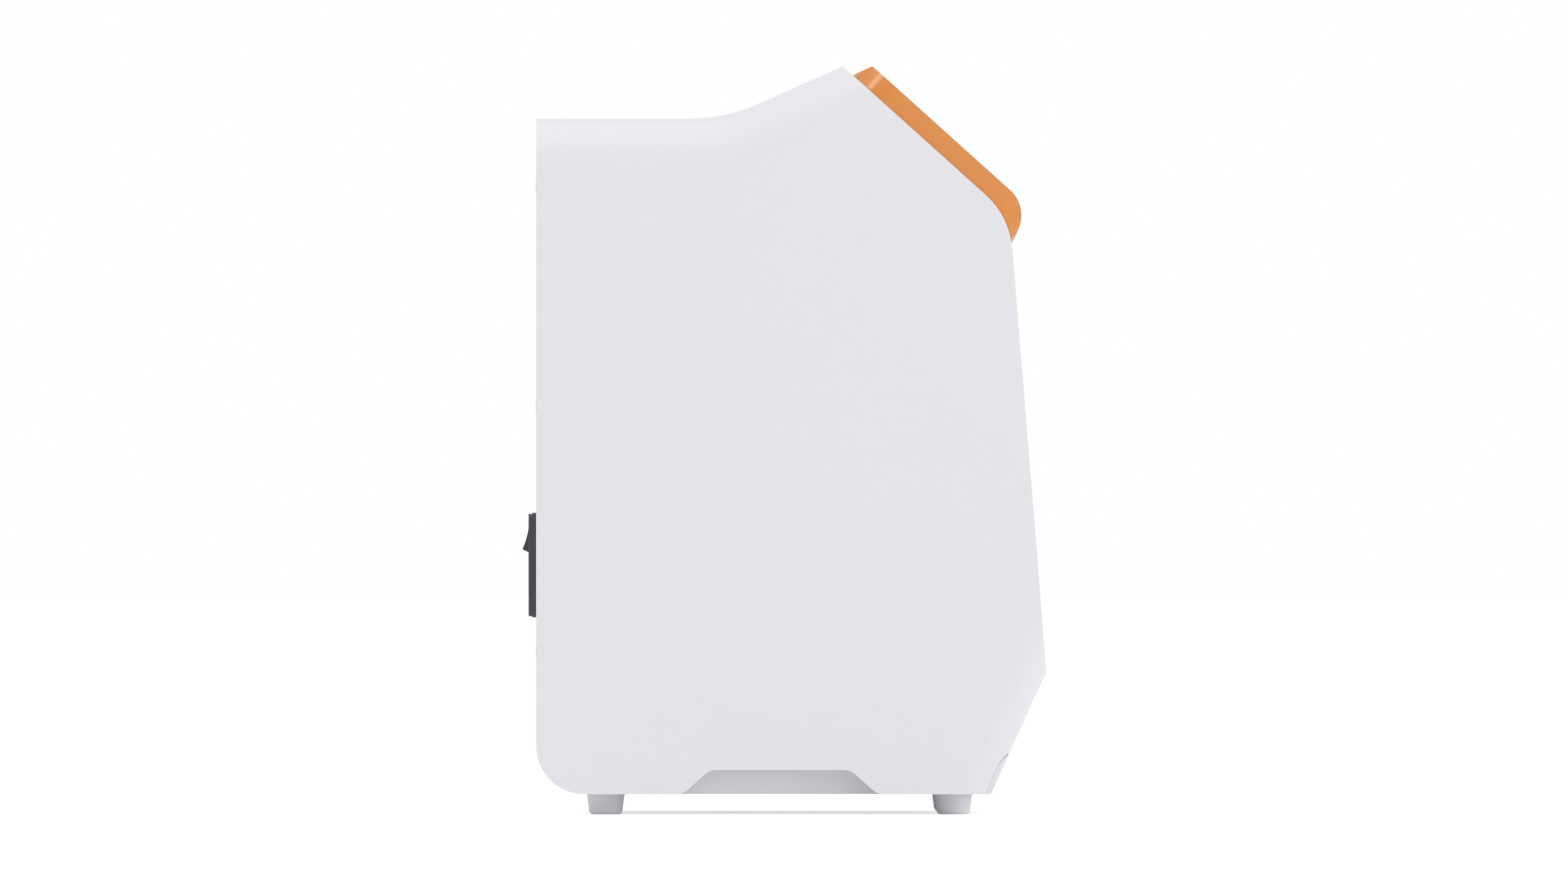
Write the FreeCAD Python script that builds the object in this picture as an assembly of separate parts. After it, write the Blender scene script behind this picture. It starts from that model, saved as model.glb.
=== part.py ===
import FreeCAD, Part
import math
import os

Vector = FreeCAD.Vector

# Desktop resin printer. Millimetres, +Z up, front towards -Y, origin on the floor under its middle.
# Lengths called f run forward from the rear face of the body, z is height above the floor.
# On the slope, s runs down from the peak and n stands out square to it.
# On the front face, v runs up from the chin corner and n stands out square to it.

# Body outline seen from the side
body_width = 270.0
body_depth = 280.4
body_height = 400.0
foot_height = 11.2
top_flat_drop = 28.7
peak_share = 0.6006
ramp_angle = 23.8
slope_angle = 42.0
front_lean = 4.63
chin_rise = 66.8
chin_angle = 24.4
rear_bottom_radius = 26.2
saddle_radius = 88.5
brow_radius = 44.0
shoulder_radius = 26.0
chin_edge_radius = 16.0

# Covers
wall = 3.0
seam = 0.4
pan_thick = 3.0
rear_panel_thick = 2.5
fascia_thick = 3.5
ledge_thick = 3.0
ledge_width = 5.0
crest_rib_depth = 1.4
crest_rib_height = 5.0
lip_rise = 21.6
lip_side_margin = 6.7
lip_corner_radius = 7.0
lip_top_gap = 1.0

# Feet
foot_top_radius = 10.5
foot_bottom_radius = 9.0
foot_rear_forward = 38.2
foot_chin_gap = 20.7
foot_side_inset = 33.0

# Hand grips in the lower edge of each side
grip_rear_forward = 99.0
grip_length = 70.0
grip_height = 13.3
grip_end_angle = 42.0
grip_round = 9.5
grip_depth = 20.0
grip_scoop_radius = 11.0
grip_cup_wall = 2.0

# Visor
visor_thick = 11.0
visor_wall = 2.5
visor_side_margin = 12.0
visor_top_setback = 7.4
visor_top_corner_radius = 24.0
visor_lip_corner_radius = 14.0
visor_nose_radius = 18.8
visor_lip_below_brow = 14.8
visor_seat_gap = 0.3
visor_opening_margin = 10.0
visor_brow_room = 23.4
visor_opening_radius = 8.0

# Visor hinge
hinge_down_slope = 13.0
hinge_out = 3.2
hinge_knuckle_radius = 3.4
hinge_pin_radius = 1.5
hinge_neck_ease = 1.0
hinge_neck_round = 1.5
hinge_arm_width = 10.0
hinge_lug_width = 7.6
hinge_spacing = 140.0
hinge_side_gap = 0.4
hinge_arm_drop = 13.0
hinge_arm_thick = 4.0
hinge_pad_width = 28.0
hinge_pad_length = 18.0
hinge_notch_top = 7.6

# Visor magnets
magnet_size = 6.0
magnet_thick = 3.0
magnet_wall_gap = 1.0
magnet_end_gap = 12.0

# Display on the front face
display_side_margin = 51.0
display_above_chin = 44.0
display_below_deck = 11.2
display_corner_radius = 5.0
glass_thick = 2.0
glass_gap = 0.25
display_ledge = 4.0
module_gap = 0.5
module_thick = 6.0
bracket_thick = 1.2
bracket_margin = 9.0
bracket_boss_size = 7.0
bracket_boss_inset = 4.5

# Power inlet on the rear face
inlet_side = 72.0
inlet_center_up = 125.25
inlet_width = 31.0
inlet_height = 58.0
inlet_flange_thick = 2.7
inlet_step_thick = 2.0
inlet_step_inset = 0.65
inlet_corner_radius = 2.5
inlet_body_width = 27.0
inlet_body_height = 56.4
inlet_body_depth = 26.0
inlet_cut_gap = 0.3
socket_width = 24.4
socket_height = 16.4
socket_depth = 15.5
socket_chamfer = 4.5
socket_drop = 15.0
pin_width = 2.0
pin_height = 4.0
pin_spacing = 14.0
pin_offset = 4.0
pin_short = 2.0
fuse_width = 20.0
fuse_height = 7.0
fuse_depth = 21.0
fuse_rise = 1.0
fuse_gap = 0.2
fuse_rim = 0.6
fuse_end_wall = 2.0
fuse_notch = 1.0
rocker_width = 13.0
rocker_half_length = 9.25
rocker_tip_rise = 4.3
rocker_hollow = 1.0
rocker_root = 5.0
rocker_tilt = 12.0
rocker_pivot_out = 2.0
rocker_pivot_rise = 17.05
rocker_gap = 0.25
rocker_pin_radius = 1.5
rocker_pin_reach = 1.2
pin_running_gap = 0.05
pin_end_gap = 0.3

# Chamber
deck_drop = 171.0
deck_thick = 3.0
deck_side_gap = 0.5
deck_front_gap = 4.0
bulkhead_share = 0.3424
bulkhead_thick = 1.5
vat_behind_peak = 31.6
vat_opening_gap = 7.0
vat_length_share = 0.3495
vat_height = 28.0
vat_wall = 4.0
vat_floor = 4.0
vat_corner_radius = 10.0
vat_rim_width = 3.0
vat_rim_thick = 2.5
vat_ear_reach = 28.0
vat_ear_length = 26.0
vat_ear_thick = 6.0
vat_ear_clip = 6.0
film_side_margin = 15.0
film_end_margin = 12.0
film_frame_width = 4.0
film_frame_thick = 3.0
film_frame_gap = 0.3
film_thick = 0.5
film_overlap = 3.5
vat_knob_radius = 10.5
vat_knob_height = 13.0
vat_stud_radius = 2.5
knob_lift = 0.2
knob_scallop_radius = 4.0
knob_scallops = 6

# Exposure unit under the deck
lcd_margin = 4.0
lcd_gap = 0.4
tunnel_flange_margin = 8.5
tunnel_flange_thick = 3.0
tunnel_depth = 74.0
tunnel_wall = 2.0
tunnel_top_inset = 2.0
tunnel_bottom_width = 64.0
tunnel_bottom_length = 44.0
lens_thick = 2.0
lens_overlap = 4.0
led_board_margin = 4.0
led_board_thick = 1.6
led_size = 4.0
led_height = 1.2
led_pitch = 10.0
led_columns = 5
led_rows = 3
sink_margin = 3.0
sink_base = 5.0
sink_fin_height = 25.0
sink_fin_thick = 2.0
sink_fins = 9
led_fan_size = 60.0
led_fan_depth = 15.0

# Z axis
column_width = 90.0
column_thick = 8.0
column_roof_gap = 7.3
rail_spacing = 56.0
rail_width = 9.0
rail_height = 6.5
# Rail flanks, as shares of the rail's height
rail_flank_low = 0.4
rail_waist_low = 0.55
rail_waist_high = 0.65
rail_flank_high = 0.8
rail_end_gap = 4.0
rail_block_width = 20.0
rail_block_length = 30.0
rail_block_reach = 10.0
rail_block_lift = 2.0
rail_gap = 0.3
platform_edge_gap = 4.0
platform_thick = 6.0
platform_cap_height = 8.0
platform_clip = 3.0
platform_stem_radius = 14.0
arm_lift = 30.0
arm_width = 44.0
arm_thick = 12.0
arm_overhang = 16.0
arm_flange_thick = 5.0
arm_rib_thick = 3.0
arm_tip_share = 0.7
arm_rib_height = 8.0
arm_rib_length = 44.0
carriage_width = 84.0
carriage_depth = 20.0
carriage_drop = 18.0
carriage_rise = 4.0
carriage_clip = 3.0
stud_radius = 4.0
stud_hole_gap = 0.2
platform_knob_radius = 12.0
platform_knob_height = 9.8
screw_radius = 4.0
nut_barrel_radius = 5.1
nut_barrel_length = 15.0
nut_flange_radius = 11.0
nut_flange_thick = 3.5
bearing_radius = 8.0
top_bracket_thick = 4.0
top_bracket_width = 60.0
top_bracket_front = 12.0
top_bracket_clip = 6.0
screw_top_rise = 2.0
motor_size = 42.3
motor_height = 40.0
motor_corner = 4.0
motor_boss_radius = 11.0
motor_boss_height = 2.0
motor_shaft_radius = 2.5
motor_shaft_root = 14.0
motor_shaft_reach = 21.0
motor_bracket_height = 35.0
motor_bracket_thick = 3.0
motor_bracket_flange = 12.0
coupler_radius = 9.5
coupler_height = 24.0
coupler_lift = 4.0
coupler_bite = 10.0
end_stop_width = 12.0
end_stop_depth = 14.0
end_stop_height = 6.0
end_stop_side = 22.0
end_stop_gap = 1.0
plunger_size = 2.4
plunger_reach = 1.0

# Frames, supply and boards
frame_side_inset = 35.0
frame_sheet = 2.0
frame_flange = 14.0
frame_chin_gap = 12.1
frame_border = 24.0
supply_side_room = 11.0
supply_length = 90.0
supply_height = 38.0
supply_side = -5.0
supply_forward = 36.0
supply_slots = 7
supply_shelf = 16.0
terminal_inset = 20.0
terminal_depth = 12.0
terminal_drop = 8.0
board_side_room = 16.0
board_end_inset = 3.0
board_setback = 8.0
board_thick = 1.6
board_standoff = 6.0
board_boss_size = 7.0
board_hole_inset = 6.0
processor_size = 26.0
processor_side = 18.0
processor_height = 9.0
driver_size = 14.0
driver_side = 14.0
driver_pitch = 24.0
driver_height = 7.0
plug_width = 12.0
plug_depth = 8.0
plug_height = 10.0
plug_pitch = 18.0
plugs = 5
capacitor_radius = 4.0
capacitor_height = 12.0
capacitor_pitch = 24.0
capacitor_inset = 12.0
exhaust_fan_size = 80.0
exhaust_fan_depth = 20.0
exhaust_fan_side = -48.0
exhaust_fan_up = 204.0
fan_hub_share = 0.38
fan_tip_gap = 1.0
fan_wall = 1.5
fan_blade_thick = 1.4
fan_blade_share = 0.9
fan_root_share = 0.8
fan_blades = 7
fan_pitch = 38.0
fan_pin_radius = 1.5
fan_strut_width = 4.0
vent_slot_width = 3.2
vent_slot_pitch = 7.0
pan_vent_length = 60.0
pan_vents = 9
panel_boss_size = 10.0
panel_boss_length = 10.0
panel_boss_shares = (0.235, 0.588, 0.902)
beyond = 60.0
# How far a cut runs past the face that it leaves by
past = 1.0
far_past = 5.0
# Rounding of a knuckle's corners, as a share of its radius, so that a short flat is left between them
round_share = 0.99

# Places worked out from the sizes above
half_width = body_width / 2
body_bottom = foot_height
peak_z = body_bottom + body_height
peak_forward = body_depth * peak_share
top_flat_z = peak_z - top_flat_drop
chin_z = body_bottom + chin_rise
ramp = math.radians(ramp_angle)
slope = math.radians(slope_angle)
lean = math.radians(front_lean)
chin = math.radians(chin_angle)
crest = ramp + slope
tilt = math.radians(rocker_tilt)
inlet_proud = inlet_flange_thick + inlet_step_thick
rear_reach = rocker_pivot_out + rocker_tip_rise * math.cos(tilt) + rocker_half_length * math.sin(tilt)
rear_y = (body_depth - rear_reach) / 2

pan_top = body_bottom + pan_thick
deck_z = peak_z - deck_drop
deck_under = deck_z - deck_thick
vat_f = peak_forward + vat_behind_peak
bulkhead_forward = body_depth * bulkhead_share
column_f = bulkhead_forward + bulkhead_thick
rail_f = column_f + column_thick
block_front_f = rail_f + rail_block_reach
screw_f = block_front_f + carriage_depth / 2
carriage_front_f = block_front_f + carriage_depth
column_top = top_flat_z - wall - column_roof_gap
carriage_high = column_top - end_stop_height - plunger_reach - end_stop_gap
arm_z = carriage_high - carriage_rise - arm_thick
carriage_low = arm_z - carriage_drop
platform_z = arm_z - arm_lift
visor_half = half_width - visor_side_margin
opening_half = visor_half - visor_opening_margin
vat_width = 2 * (opening_half - vat_opening_gap - vat_ear_reach)
vat_length = body_depth * vat_length_share
film_window_width = vat_width - 2 * film_side_margin
film_window_length = vat_length - 2 * film_end_margin
film_width = film_window_width + 2 * (film_frame_width + film_overlap)
film_length = film_window_length + 2 * (film_frame_width + film_overlap)
lcd_width = film_window_width + 2 * lcd_margin
lcd_length = film_window_length + 2 * lcd_margin
tunnel_top_width = film_window_width - 2 * tunnel_top_inset
tunnel_top_length = film_window_length - 2 * tunnel_top_inset
platform_width = film_window_width - 2 * platform_edge_gap
platform_length = film_window_length - 2 * platform_edge_gap
display_width = body_width - 2 * display_side_margin
display_height = deck_under - chin_z - display_above_chin - display_below_deck
display_center_up = display_above_chin + display_height / 2
frame_side = half_width - frame_side_inset
supply_width = 2 * (frame_side - frame_flange - supply_side_room)
board_width = 2 * (frame_side - frame_flange - board_side_room)
board_length = vat_length - 2 * board_end_inset
board_f = vat_f - board_setback


# Lines in the side view, as (f, z)

def on_slope(s, n):
    """Point s down the slope from the peak and n out from it."""
    return (peak_forward + s * math.cos(slope) + n * math.sin(slope),
            peak_z - s * math.sin(slope) + n * math.cos(slope))


def on_front(v, n):
    """Point v up the front face from the chin corner and n out from it."""
    return (body_depth - v * math.sin(lean) + n * math.cos(lean),
            chin_z + v * math.cos(lean) + n * math.sin(lean))


def on_chin(rise, inset):
    """Point on the chin line moved in by inset, rise above the body's bottom."""
    across = body_depth - inset * math.cos(chin)
    height = chin_z + inset * math.sin(chin)
    z = body_bottom + rise
    return (across + (z - height) * math.tan(chin), z)


def front_forward(z, inset):
    """How far forward the front face, moved in by inset, stands at height z."""
    return body_depth - (z - chin_z) * math.tan(lean) - inset / math.cos(lean)


def meet(point, angle, other, other_angle):
    """Where two lines cross, each given by a point and a direction angle."""
    dx, dz = other[0] - point[0], other[1] - point[1]
    c, s = math.cos(angle), math.sin(angle)
    other_c, other_s = math.cos(other_angle), math.sin(other_angle)
    t = (dx * other_s - dz * other_c) / (c * other_s - s * other_c)
    return (point[0] + t * c, point[1] + t * s)


def brow_corner(inset):
    """Where the slope and the front face, both moved in by inset, would meet without the brow's rounding."""
    return meet(on_slope(0, -inset), -slope, on_front(0, -inset), math.pi / 2 + lean)


# Places that follow from those lines

visor_lip_z = brow_corner(0)[1] - visor_lip_below_brow
visor_opening_length = (peak_z - brow_corner(0)[1]) / math.sin(slope) - visor_brow_room
chin_low_f = on_chin(0, 0)[0]
foot_front_forward = chin_low_f - foot_chin_gap
frame_front_f = chin_low_f - frame_chin_gap


# Outlines and solids

def rounded_wire(corners, to_point):
    """Closed wire through corners (u, v) or (u, v, radius), each radius rounding its own corner."""
    places = []
    count = len(corners)
    for i, corner in enumerate(corners):
        here = Vector(corner[0], corner[1], 0)
        radius = corner[2] if len(corner) > 2 else 0
        if radius <= 0:
            places.append((here,))
            continue
        before = (Vector(*corners[i - 1][:2], 0) - here).normalize()
        after = (Vector(*corners[(i + 1) % count][:2], 0) - here).normalize()
        half = before.getAngle(after) / 2
        middle = (before + after).normalize()
        centre = here + middle * (radius / math.sin(half))
        reach = radius / math.tan(half)
        places.append((here + before * reach, centre - middle * radius, here + after * reach))
    edges = []
    for i, place in enumerate(places):
        points = [to_point(p.x, p.y) for p in place]
        if len(points) == 3:
            edges.append(Part.Arc(*points).toShape())
        following = places[(i + 1) % count][0]
        start = points[-1]
        end = to_point(following.x, following.y)
        if start.distanceToPoint(end) > 1e-6:
            edges.append(Part.makeLine(start, end))
    return Part.Wire(edges)


def side_prism(corners, x0, x1):
    """Solid with a side outline of (f, z) corners, from x0 to x1."""
    wire = rounded_wire(corners, lambda f, z: Vector(x0, rear_y - f, z))
    return Part.Face(wire).extrude(Vector(x1 - x0, 0, 0))


def front_prism(corners, f0, f1):
    """Solid with a front outline of (x, z) corners, from f0 to f1."""
    wire = rounded_wire(corners, lambda x, z: Vector(x, rear_y - f0, z))
    return Part.Face(wire).extrude(Vector(0, f0 - f1, 0))


def plan_prism(corners, z0, z1):
    """Solid with a plan outline of (x, f) corners, from z0 to z1."""
    wire = rounded_wire(corners, lambda x, f: Vector(x, rear_y - f, z0))
    return Part.Face(wire).extrude(Vector(0, 0, z1 - z0))


def tilted_prism(corners, place, angle, n0, n1):
    """Solid standing on a tilted face: corners of (x, run) and place(run, n) in the side view."""
    def to_point(x, run):
        f, z = place(run, n0)
        return Vector(x, rear_y - f, z)
    out = Vector(0, -math.cos(angle), math.sin(angle)) * (n1 - n0)
    return Part.Face(rounded_wire(corners, to_point)).extrude(out)


def slope_prism(corners, n0, n1):
    return tilted_prism(corners, on_slope, math.pi / 2 - slope, n0, n1)


def face_prism(corners, n0, n1):
    return tilted_prism(corners, on_front, lean, n0, n1)


def rectangle(u0, u1, v0, v1, radius=0):
    return [(u0, v0, radius), (u1, v0, radius), (u1, v1, radius), (u0, v1, radius)]


def centred(width, length, u, v, radius=0):
    return rectangle(u - width / 2, u + width / 2, v - length / 2, v + length / 2, radius)


def clipped(width, length, u, v, cut):
    """Rectangle about (u, v) with its four corners cut off."""
    a, b = width / 2, length / 2
    return [(u - a + cut, v - b), (u + a - cut, v - b), (u + a, v - b + cut), (u + a, v + b - cut),
            (u + a - cut, v + b), (u - a + cut, v + b), (u - a, v + b - cut), (u - a, v - b + cut)]


def block(x0, x1, f0, f1, z0, z1):
    return Part.makeBox(x1 - x0, f1 - f0, z1 - z0, Vector(x0, rear_y - f1, z0))


def rod_x(radius, f, z, x0, x1):
    return Part.makeCylinder(radius, x1 - x0, Vector(x0, rear_y - f, z), Vector(1, 0, 0))


def rod_y(radius, x, z, f0, f1):
    return Part.makeCylinder(radius, f1 - f0, Vector(x, rear_y - f0, z), Vector(0, -1, 0))


def rod_z(radius, x, f, z0, z1):
    return Part.makeCylinder(radius, z1 - z0, Vector(x, rear_y - f, z0))


def joined(shapes):
    """One solid of pieces that meet."""
    return shapes[0].fuse(shapes[1:]).removeSplitter()


def mirrored(shape):
    return shape.mirror(Vector(0, 0, 0), Vector(1, 0, 0))


def save(name, shape):
    shape.exportStep(os.path.join("parts", name + ".step"))


# Body block and the cuts that its covers share

def body_block(inset, rear=0.0, bottom=body_bottom, corner=rear_bottom_radius):
    """Body before its front is cut, with sides, top and chin moved in by inset and the shoulders rounded."""
    half = half_width - inset
    far = body_depth + beyond
    top = top_flat_z - inset
    ramp_point = (peak_forward + inset * math.sin(ramp), peak_z - inset * math.cos(ramp))
    saddle = meet((0, top), 0, ramp_point, ramp)
    ramp_end = ramp_point[1] + (far - ramp_point[0]) * math.tan(ramp)
    chin_low = on_chin(bottom - body_bottom, inset)
    chin_far = bottom + (far - chin_low[0]) / math.tan(chin)
    outline = [(rear, bottom, corner), (rear, top), (*saddle, saddle_radius + inset),
               (far, ramp_end), (far, chin_far), chin_low]
    solid = side_prism(outline, -half, half)

    def in_side(edge):
        return all(abs(abs(v.Point.x) - half) < 1e-6 for v in edge.Vertexes) and edge.BoundBox.XLength < 1e-6

    def middle(edge):
        return edge.valueAt((edge.FirstParameter + edge.LastParameter) / 2)

    def on_chin_line(edge):
        point = middle(edge)
        return abs(rear_y - point.y - on_chin(point.z - body_bottom, inset)[0]) < 1e-4

    shoulders = [e for e in solid.Edges if in_side(e) and middle(e).z > top - 1e-6]
    solid = solid.makeFillet(shoulder_radius - inset, shoulders)
    chins = [e for e in solid.Edges if in_side(e) and on_chin_line(e)]
    return solid.makeFillet(chin_edge_radius - inset, chins)


def cavity(inset):
    """Inside of the shell moved in by inset, open to the rear and below."""
    return body_block(inset, rear=-beyond, bottom=body_bottom - beyond, corner=0)


def front_cut(inset):
    """Everything ahead of the slope, brow and front face when these are moved in by inset."""
    far = body_depth + 2 * beyond
    sky = peak_z + 3 * beyond
    low = on_front(-2 * beyond, -inset)
    high = on_slope(-beyond, -inset)
    brow = (*brow_corner(inset), brow_radius - inset)
    outline = [high, brow, low, (far, low[1]), (far, sky), (high[0], sky)]
    return side_prism(outline, -half_width - beyond, half_width + beyond)


def front_layer(outer, inner):
    """Sheet that follows the slope, brow and front face between two depths below them."""
    return front_cut(inner).cut(front_cut(outer))


def grip_run():
    """Length of a grip's slanted end along the lower edge, and its rounding's reach past each corner."""
    angle = math.radians(grip_end_angle)
    return grip_height / math.tan(angle), grip_round * math.tan(angle / 2)


def grip_outline():
    """Hand grip: a low arch with flared ends in the side's lower edge."""
    run, ease = grip_run()
    rear = grip_rear_forward - ease
    front = grip_rear_forward + grip_length + ease
    top = body_bottom + grip_height
    low = body_bottom - grip_height
    behind = rear - run - beyond
    ahead = front + run + beyond
    return [(behind, low), (behind, body_bottom), (rear - run, body_bottom, grip_round),
            (rear, top, grip_round), (front, top, grip_round), (front + run, body_bottom, grip_round),
            (ahead, body_bottom), (ahead, low)]


def grip_span():
    """Where the grip's flares run out into the lower edge, rear and front."""
    run, ease = grip_run()
    return grip_rear_forward - run - 2 * ease, grip_rear_forward + grip_length + run + 2 * ease


def lip_outline(side_gap, top_gap):
    """Front outline of the base pan's upturned lip."""
    half = half_width - lip_side_margin + side_gap
    top = body_bottom + lip_rise + top_gap
    low = body_bottom - beyond
    return [(-half, low), (half, low), (half, top, lip_corner_radius), (-half, top, lip_corner_radius)]


def panel_boss_places():
    side = half_width - wall - seam - panel_boss_size / 2
    return [(x, share * top_flat_z) for x in (-side, side) for share in panel_boss_shares]


# Covers

def outer_shell():
    """Sides, top and chin in one moulding, open at the rear, below and along the slope and front."""
    lip_start = on_chin(0, wall + beyond / 2)[0]
    hollow = cavity(wall)
    shell = body_block(0, corner=rear_bottom_radius).cut(hollow).cut(front_cut(0))
    shell = shell.cut(front_prism(lip_outline(seam, lip_top_gap), lip_start, body_depth + beyond))
    ledges = front_layer(fascia_thick, fascia_thick + ledge_thick).common(hollow)
    inner = half_width - wall - ledge_width
    ledges = ledges.cut(block(-inner, inner, -beyond, body_depth + beyond, 0, peak_z + beyond))
    ledges = ledges.cut(block(-half_width, half_width, -beyond, body_depth + beyond, 0, chin_z + wall))
    rib_in = wall / math.sin(crest)
    back = crest_rib_height / math.tan(crest)
    rib = side_prism([on_slope(rib_in - past, 0), on_slope(rib_in + crest_rib_depth, 0),
                      on_slope(rib_in + crest_rib_depth, -crest_rib_height),
                      on_slope(rib_in - back - past, -crest_rib_height)],
                     -(half_width - shoulder_radius), half_width - shoulder_radius)
    pieces = [shell, rib] + ledges.Solids
    for x, z in panel_boss_places():
        outer = half_width - wall / 2
        inner = abs(x) - panel_boss_size / 2
        x0, x1 = (inner, outer) if x > 0 else (-outer, -inner)
        boss = block(x0, x1, rear_panel_thick, rear_panel_thick + panel_boss_length,
                     z - panel_boss_size / 2, z + panel_boss_size / 2)
        pieces.append(boss)
    grip = side_prism(grip_outline(), -half_width - beyond, half_width + beyond)
    return joined(pieces).cut(grip)


def rear_panel():
    """Flat back plate with the fan's vents and the inlet's cut-out."""
    low = body_bottom + rear_bottom_radius + seam
    plate = body_block(wall + seam, bottom=low, corner=0)
    plate = plate.common(block(-half_width, half_width, 0, rear_panel_thick, low, peak_z))
    gap = 2 * inlet_cut_gap
    hole = centred(inlet_body_width + gap, inlet_body_height + gap, inlet_side, body_bottom + inlet_center_up)
    plate = plate.cut(front_prism(hole, -past, rear_panel_thick + past))
    for slot in exhaust_slots():
        plate = plate.cut(slot)
    return plate


def exhaust_slots():
    """Upright slots across the fan's opening, each as tall as the circle allows."""
    radius = exhaust_fan_size / 2 - fan_wall - fan_tip_gap
    centre = body_bottom + exhaust_fan_up
    reach = int((radius - vent_slot_width) / vent_slot_pitch)
    slots = []
    for i in range(-reach, reach + 1):
        across = i * vent_slot_pitch
        tall = 2 * math.sqrt(radius ** 2 - (abs(across) + vent_slot_width / 2) ** 2)
        outline = centred(vent_slot_width, tall, exhaust_fan_side + across, centre)
        slots.append(front_prism(outline, -past, rear_panel_thick + past))
    return slots


def base_pan():
    """Bottom tray: curls up into the rear panel and ends in the lip on the chin."""
    top = body_bottom + rear_bottom_radius
    half = half_width - wall - seam
    front = on_chin(0, 0)[0]
    section = [(0, top), (0, body_bottom, rear_bottom_radius), (front, body_bottom), (front, pan_top),
               (pan_thick, pan_top, rear_bottom_radius - pan_thick), (pan_thick, top)]
    strip = side_prism(section, -half, half)
    lip_start = on_chin(0, wall + beyond / 2)[0]
    lip_front = front_prism(lip_outline(0, 0), lip_start, body_depth)
    tray = strip.common(body_block(wall + seam))
    toe = strip.common(body_block(0)).common(lip_front)
    lip = body_block(0).cut(body_block(wall)).common(lip_front)
    pan = joined([tray, toe, lip])
    for x, f in board_places():
        post = centred(board_boss_size, board_boss_size, x, f)
        pan = pan.fuse(plan_prism(post, pan_top, pan_top + board_standoff))
    rear, ahead = grip_span()
    reach = grip_depth + grip_cup_wall + seam
    for side in (-1, 1):
        x0, x1 = sorted((side * (half_width - reach), side * half_width))
        pan = pan.cut(block(x0, x1, rear - grip_cup_wall - seam, ahead + grip_cup_wall + seam,
                            body_bottom - past, pan_top + past))
    for i in range(pan_vents):
        x = (i - (pan_vents - 1) / 2) * 2 * vent_slot_pitch
        slot = centred(vent_slot_width, pan_vent_length, x, vat_f)
        pan = pan.cut(plan_prism(slot, body_bottom - past, pan_top + past))
    return pan.removeSplitter()


def grip_cup(side):
    """Moulded pocket behind the hand grip's cut-out, its roof curving down into its back."""
    rear, ahead = grip_span()
    inner = half_width - grip_depth
    top = body_bottom + grip_height
    start, end = rear - grip_cup_wall, ahead + grip_cup_wall
    roof = top + grip_cup_wall
    outside = [(start, body_bottom), (start, roof, grip_round), (end, roof, grip_round), (end, body_bottom)]
    shape = side_prism(outside, inner - grip_cup_wall, half_width - wall)
    low = body_bottom - grip_height
    scoop = front_prism([(inner, low), (half_width + beyond, low), (half_width + beyond, top),
                         (inner, top, grip_scoop_radius)], rear - beyond, ahead + beyond)
    pocket = side_prism(grip_outline(), inner - past, half_width + beyond).common(scoop)
    cup = shape.cut(pocket)
    return cup if side > 0 else mirrored(cup)


def front_fascia():
    """Front cover between the sides: the visor's frame on the slope, the brow and the display's face."""
    fascia = front_layer(0, fascia_thick).common(cavity(wall + seam))
    window = rectangle(-opening_half, opening_half, -beyond, visor_opening_length, visor_opening_radius)
    fascia = fascia.cut(slope_prism(window, -fascia_thick - far_past, far_past))
    pocket = centred(display_width + 2 * glass_gap, display_height + 2 * glass_gap, 0, display_center_up,
                     display_corner_radius + glass_gap)
    fascia = fascia.cut(face_prism(pocket, -glass_thick, far_past))
    ledge = 2 * display_ledge
    hole = centred(display_width - ledge, display_height - ledge, 0, display_center_up)
    fascia = fascia.cut(face_prism(hole, -fascia_thick - far_past, far_past))
    for x, v in bracket_bosses():
        post = centred(bracket_boss_size, bracket_boss_size, x, v)
        fascia = fascia.fuse(face_prism(post, -glass_thick - module_thick, -fascia_thick))
    for outline in magnet_outlines(magnet_size):
        fascia = fascia.cut(slope_prism(outline, -magnet_thick / 2, magnet_thick))
    return fascia.removeSplitter()


def bracket_bosses():
    """Where the display's bracket is screwed to the back of the fascia."""
    x = display_width / 2 - display_ledge + bracket_boss_inset
    v = display_height / 2 - display_ledge + bracket_boss_inset
    return [(sx * x, display_center_up + sv * v) for sx in (-1, 1) for sv in (-1, 1)]


def foot_places():
    x = half_width - foot_side_inset
    rows = {"front": foot_front_forward, "rear": foot_rear_forward}
    sides = {"left": -x, "right": x}
    return {row + "_" + side: (sides[side], rows[row]) for row in rows for side in sides}


def foot(x, f):
    """Round foot that narrows towards the floor."""
    return Part.makeCone(foot_bottom_radius, foot_top_radius, foot_height, Vector(x, rear_y - f, 0))


# Visor and its hinge

def visor_outline(inset, inner):
    """Side outline of the visor moved in by inset, with its seat side at n = inner."""
    top_n = visor_thick - inset
    end_foot = on_slope(visor_top_setback + inset / math.sin(crest), visor_seat_gap)
    end_angle = ramp
    low = meet(end_foot, end_angle, on_slope(0, inner), -slope)
    high = meet(end_foot, end_angle, on_slope(0, top_n), -slope)
    tip = (front_forward(visor_lip_z, 0) + visor_seat_gap, visor_lip_z)
    under_point = (tip[0] - inset * math.cos(chin), tip[1] + inset * math.sin(chin))
    under_angle = math.pi / 2 - chin
    nose = meet(under_point, under_angle, on_slope(0, top_n), -slope)
    front_point = on_front(0, inner)
    end = meet(under_point, under_angle, front_point, math.pi / 2 + lean)
    corner = meet(on_slope(0, inner), -slope, front_point, math.pi / 2 + lean)
    return [low, high, (*nose, visor_nose_radius - inset), end, (*corner, brow_radius + inner)]


def visor_plan(inset):
    """Outline of the visor square to the slope, with its rounded corners."""
    half = visor_half - inset
    drop = peak_z - visor_lip_z
    reach = front_forward(visor_lip_z, 0) - peak_forward
    end = reach * math.cos(slope) + drop * math.sin(slope) - inset
    top = visor_top_setback + inset
    high = visor_top_corner_radius - inset
    low = visor_lip_corner_radius - inset
    return [(-half, top, high), (half, top, high), (half, end, low), (-half, end, low)]


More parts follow.
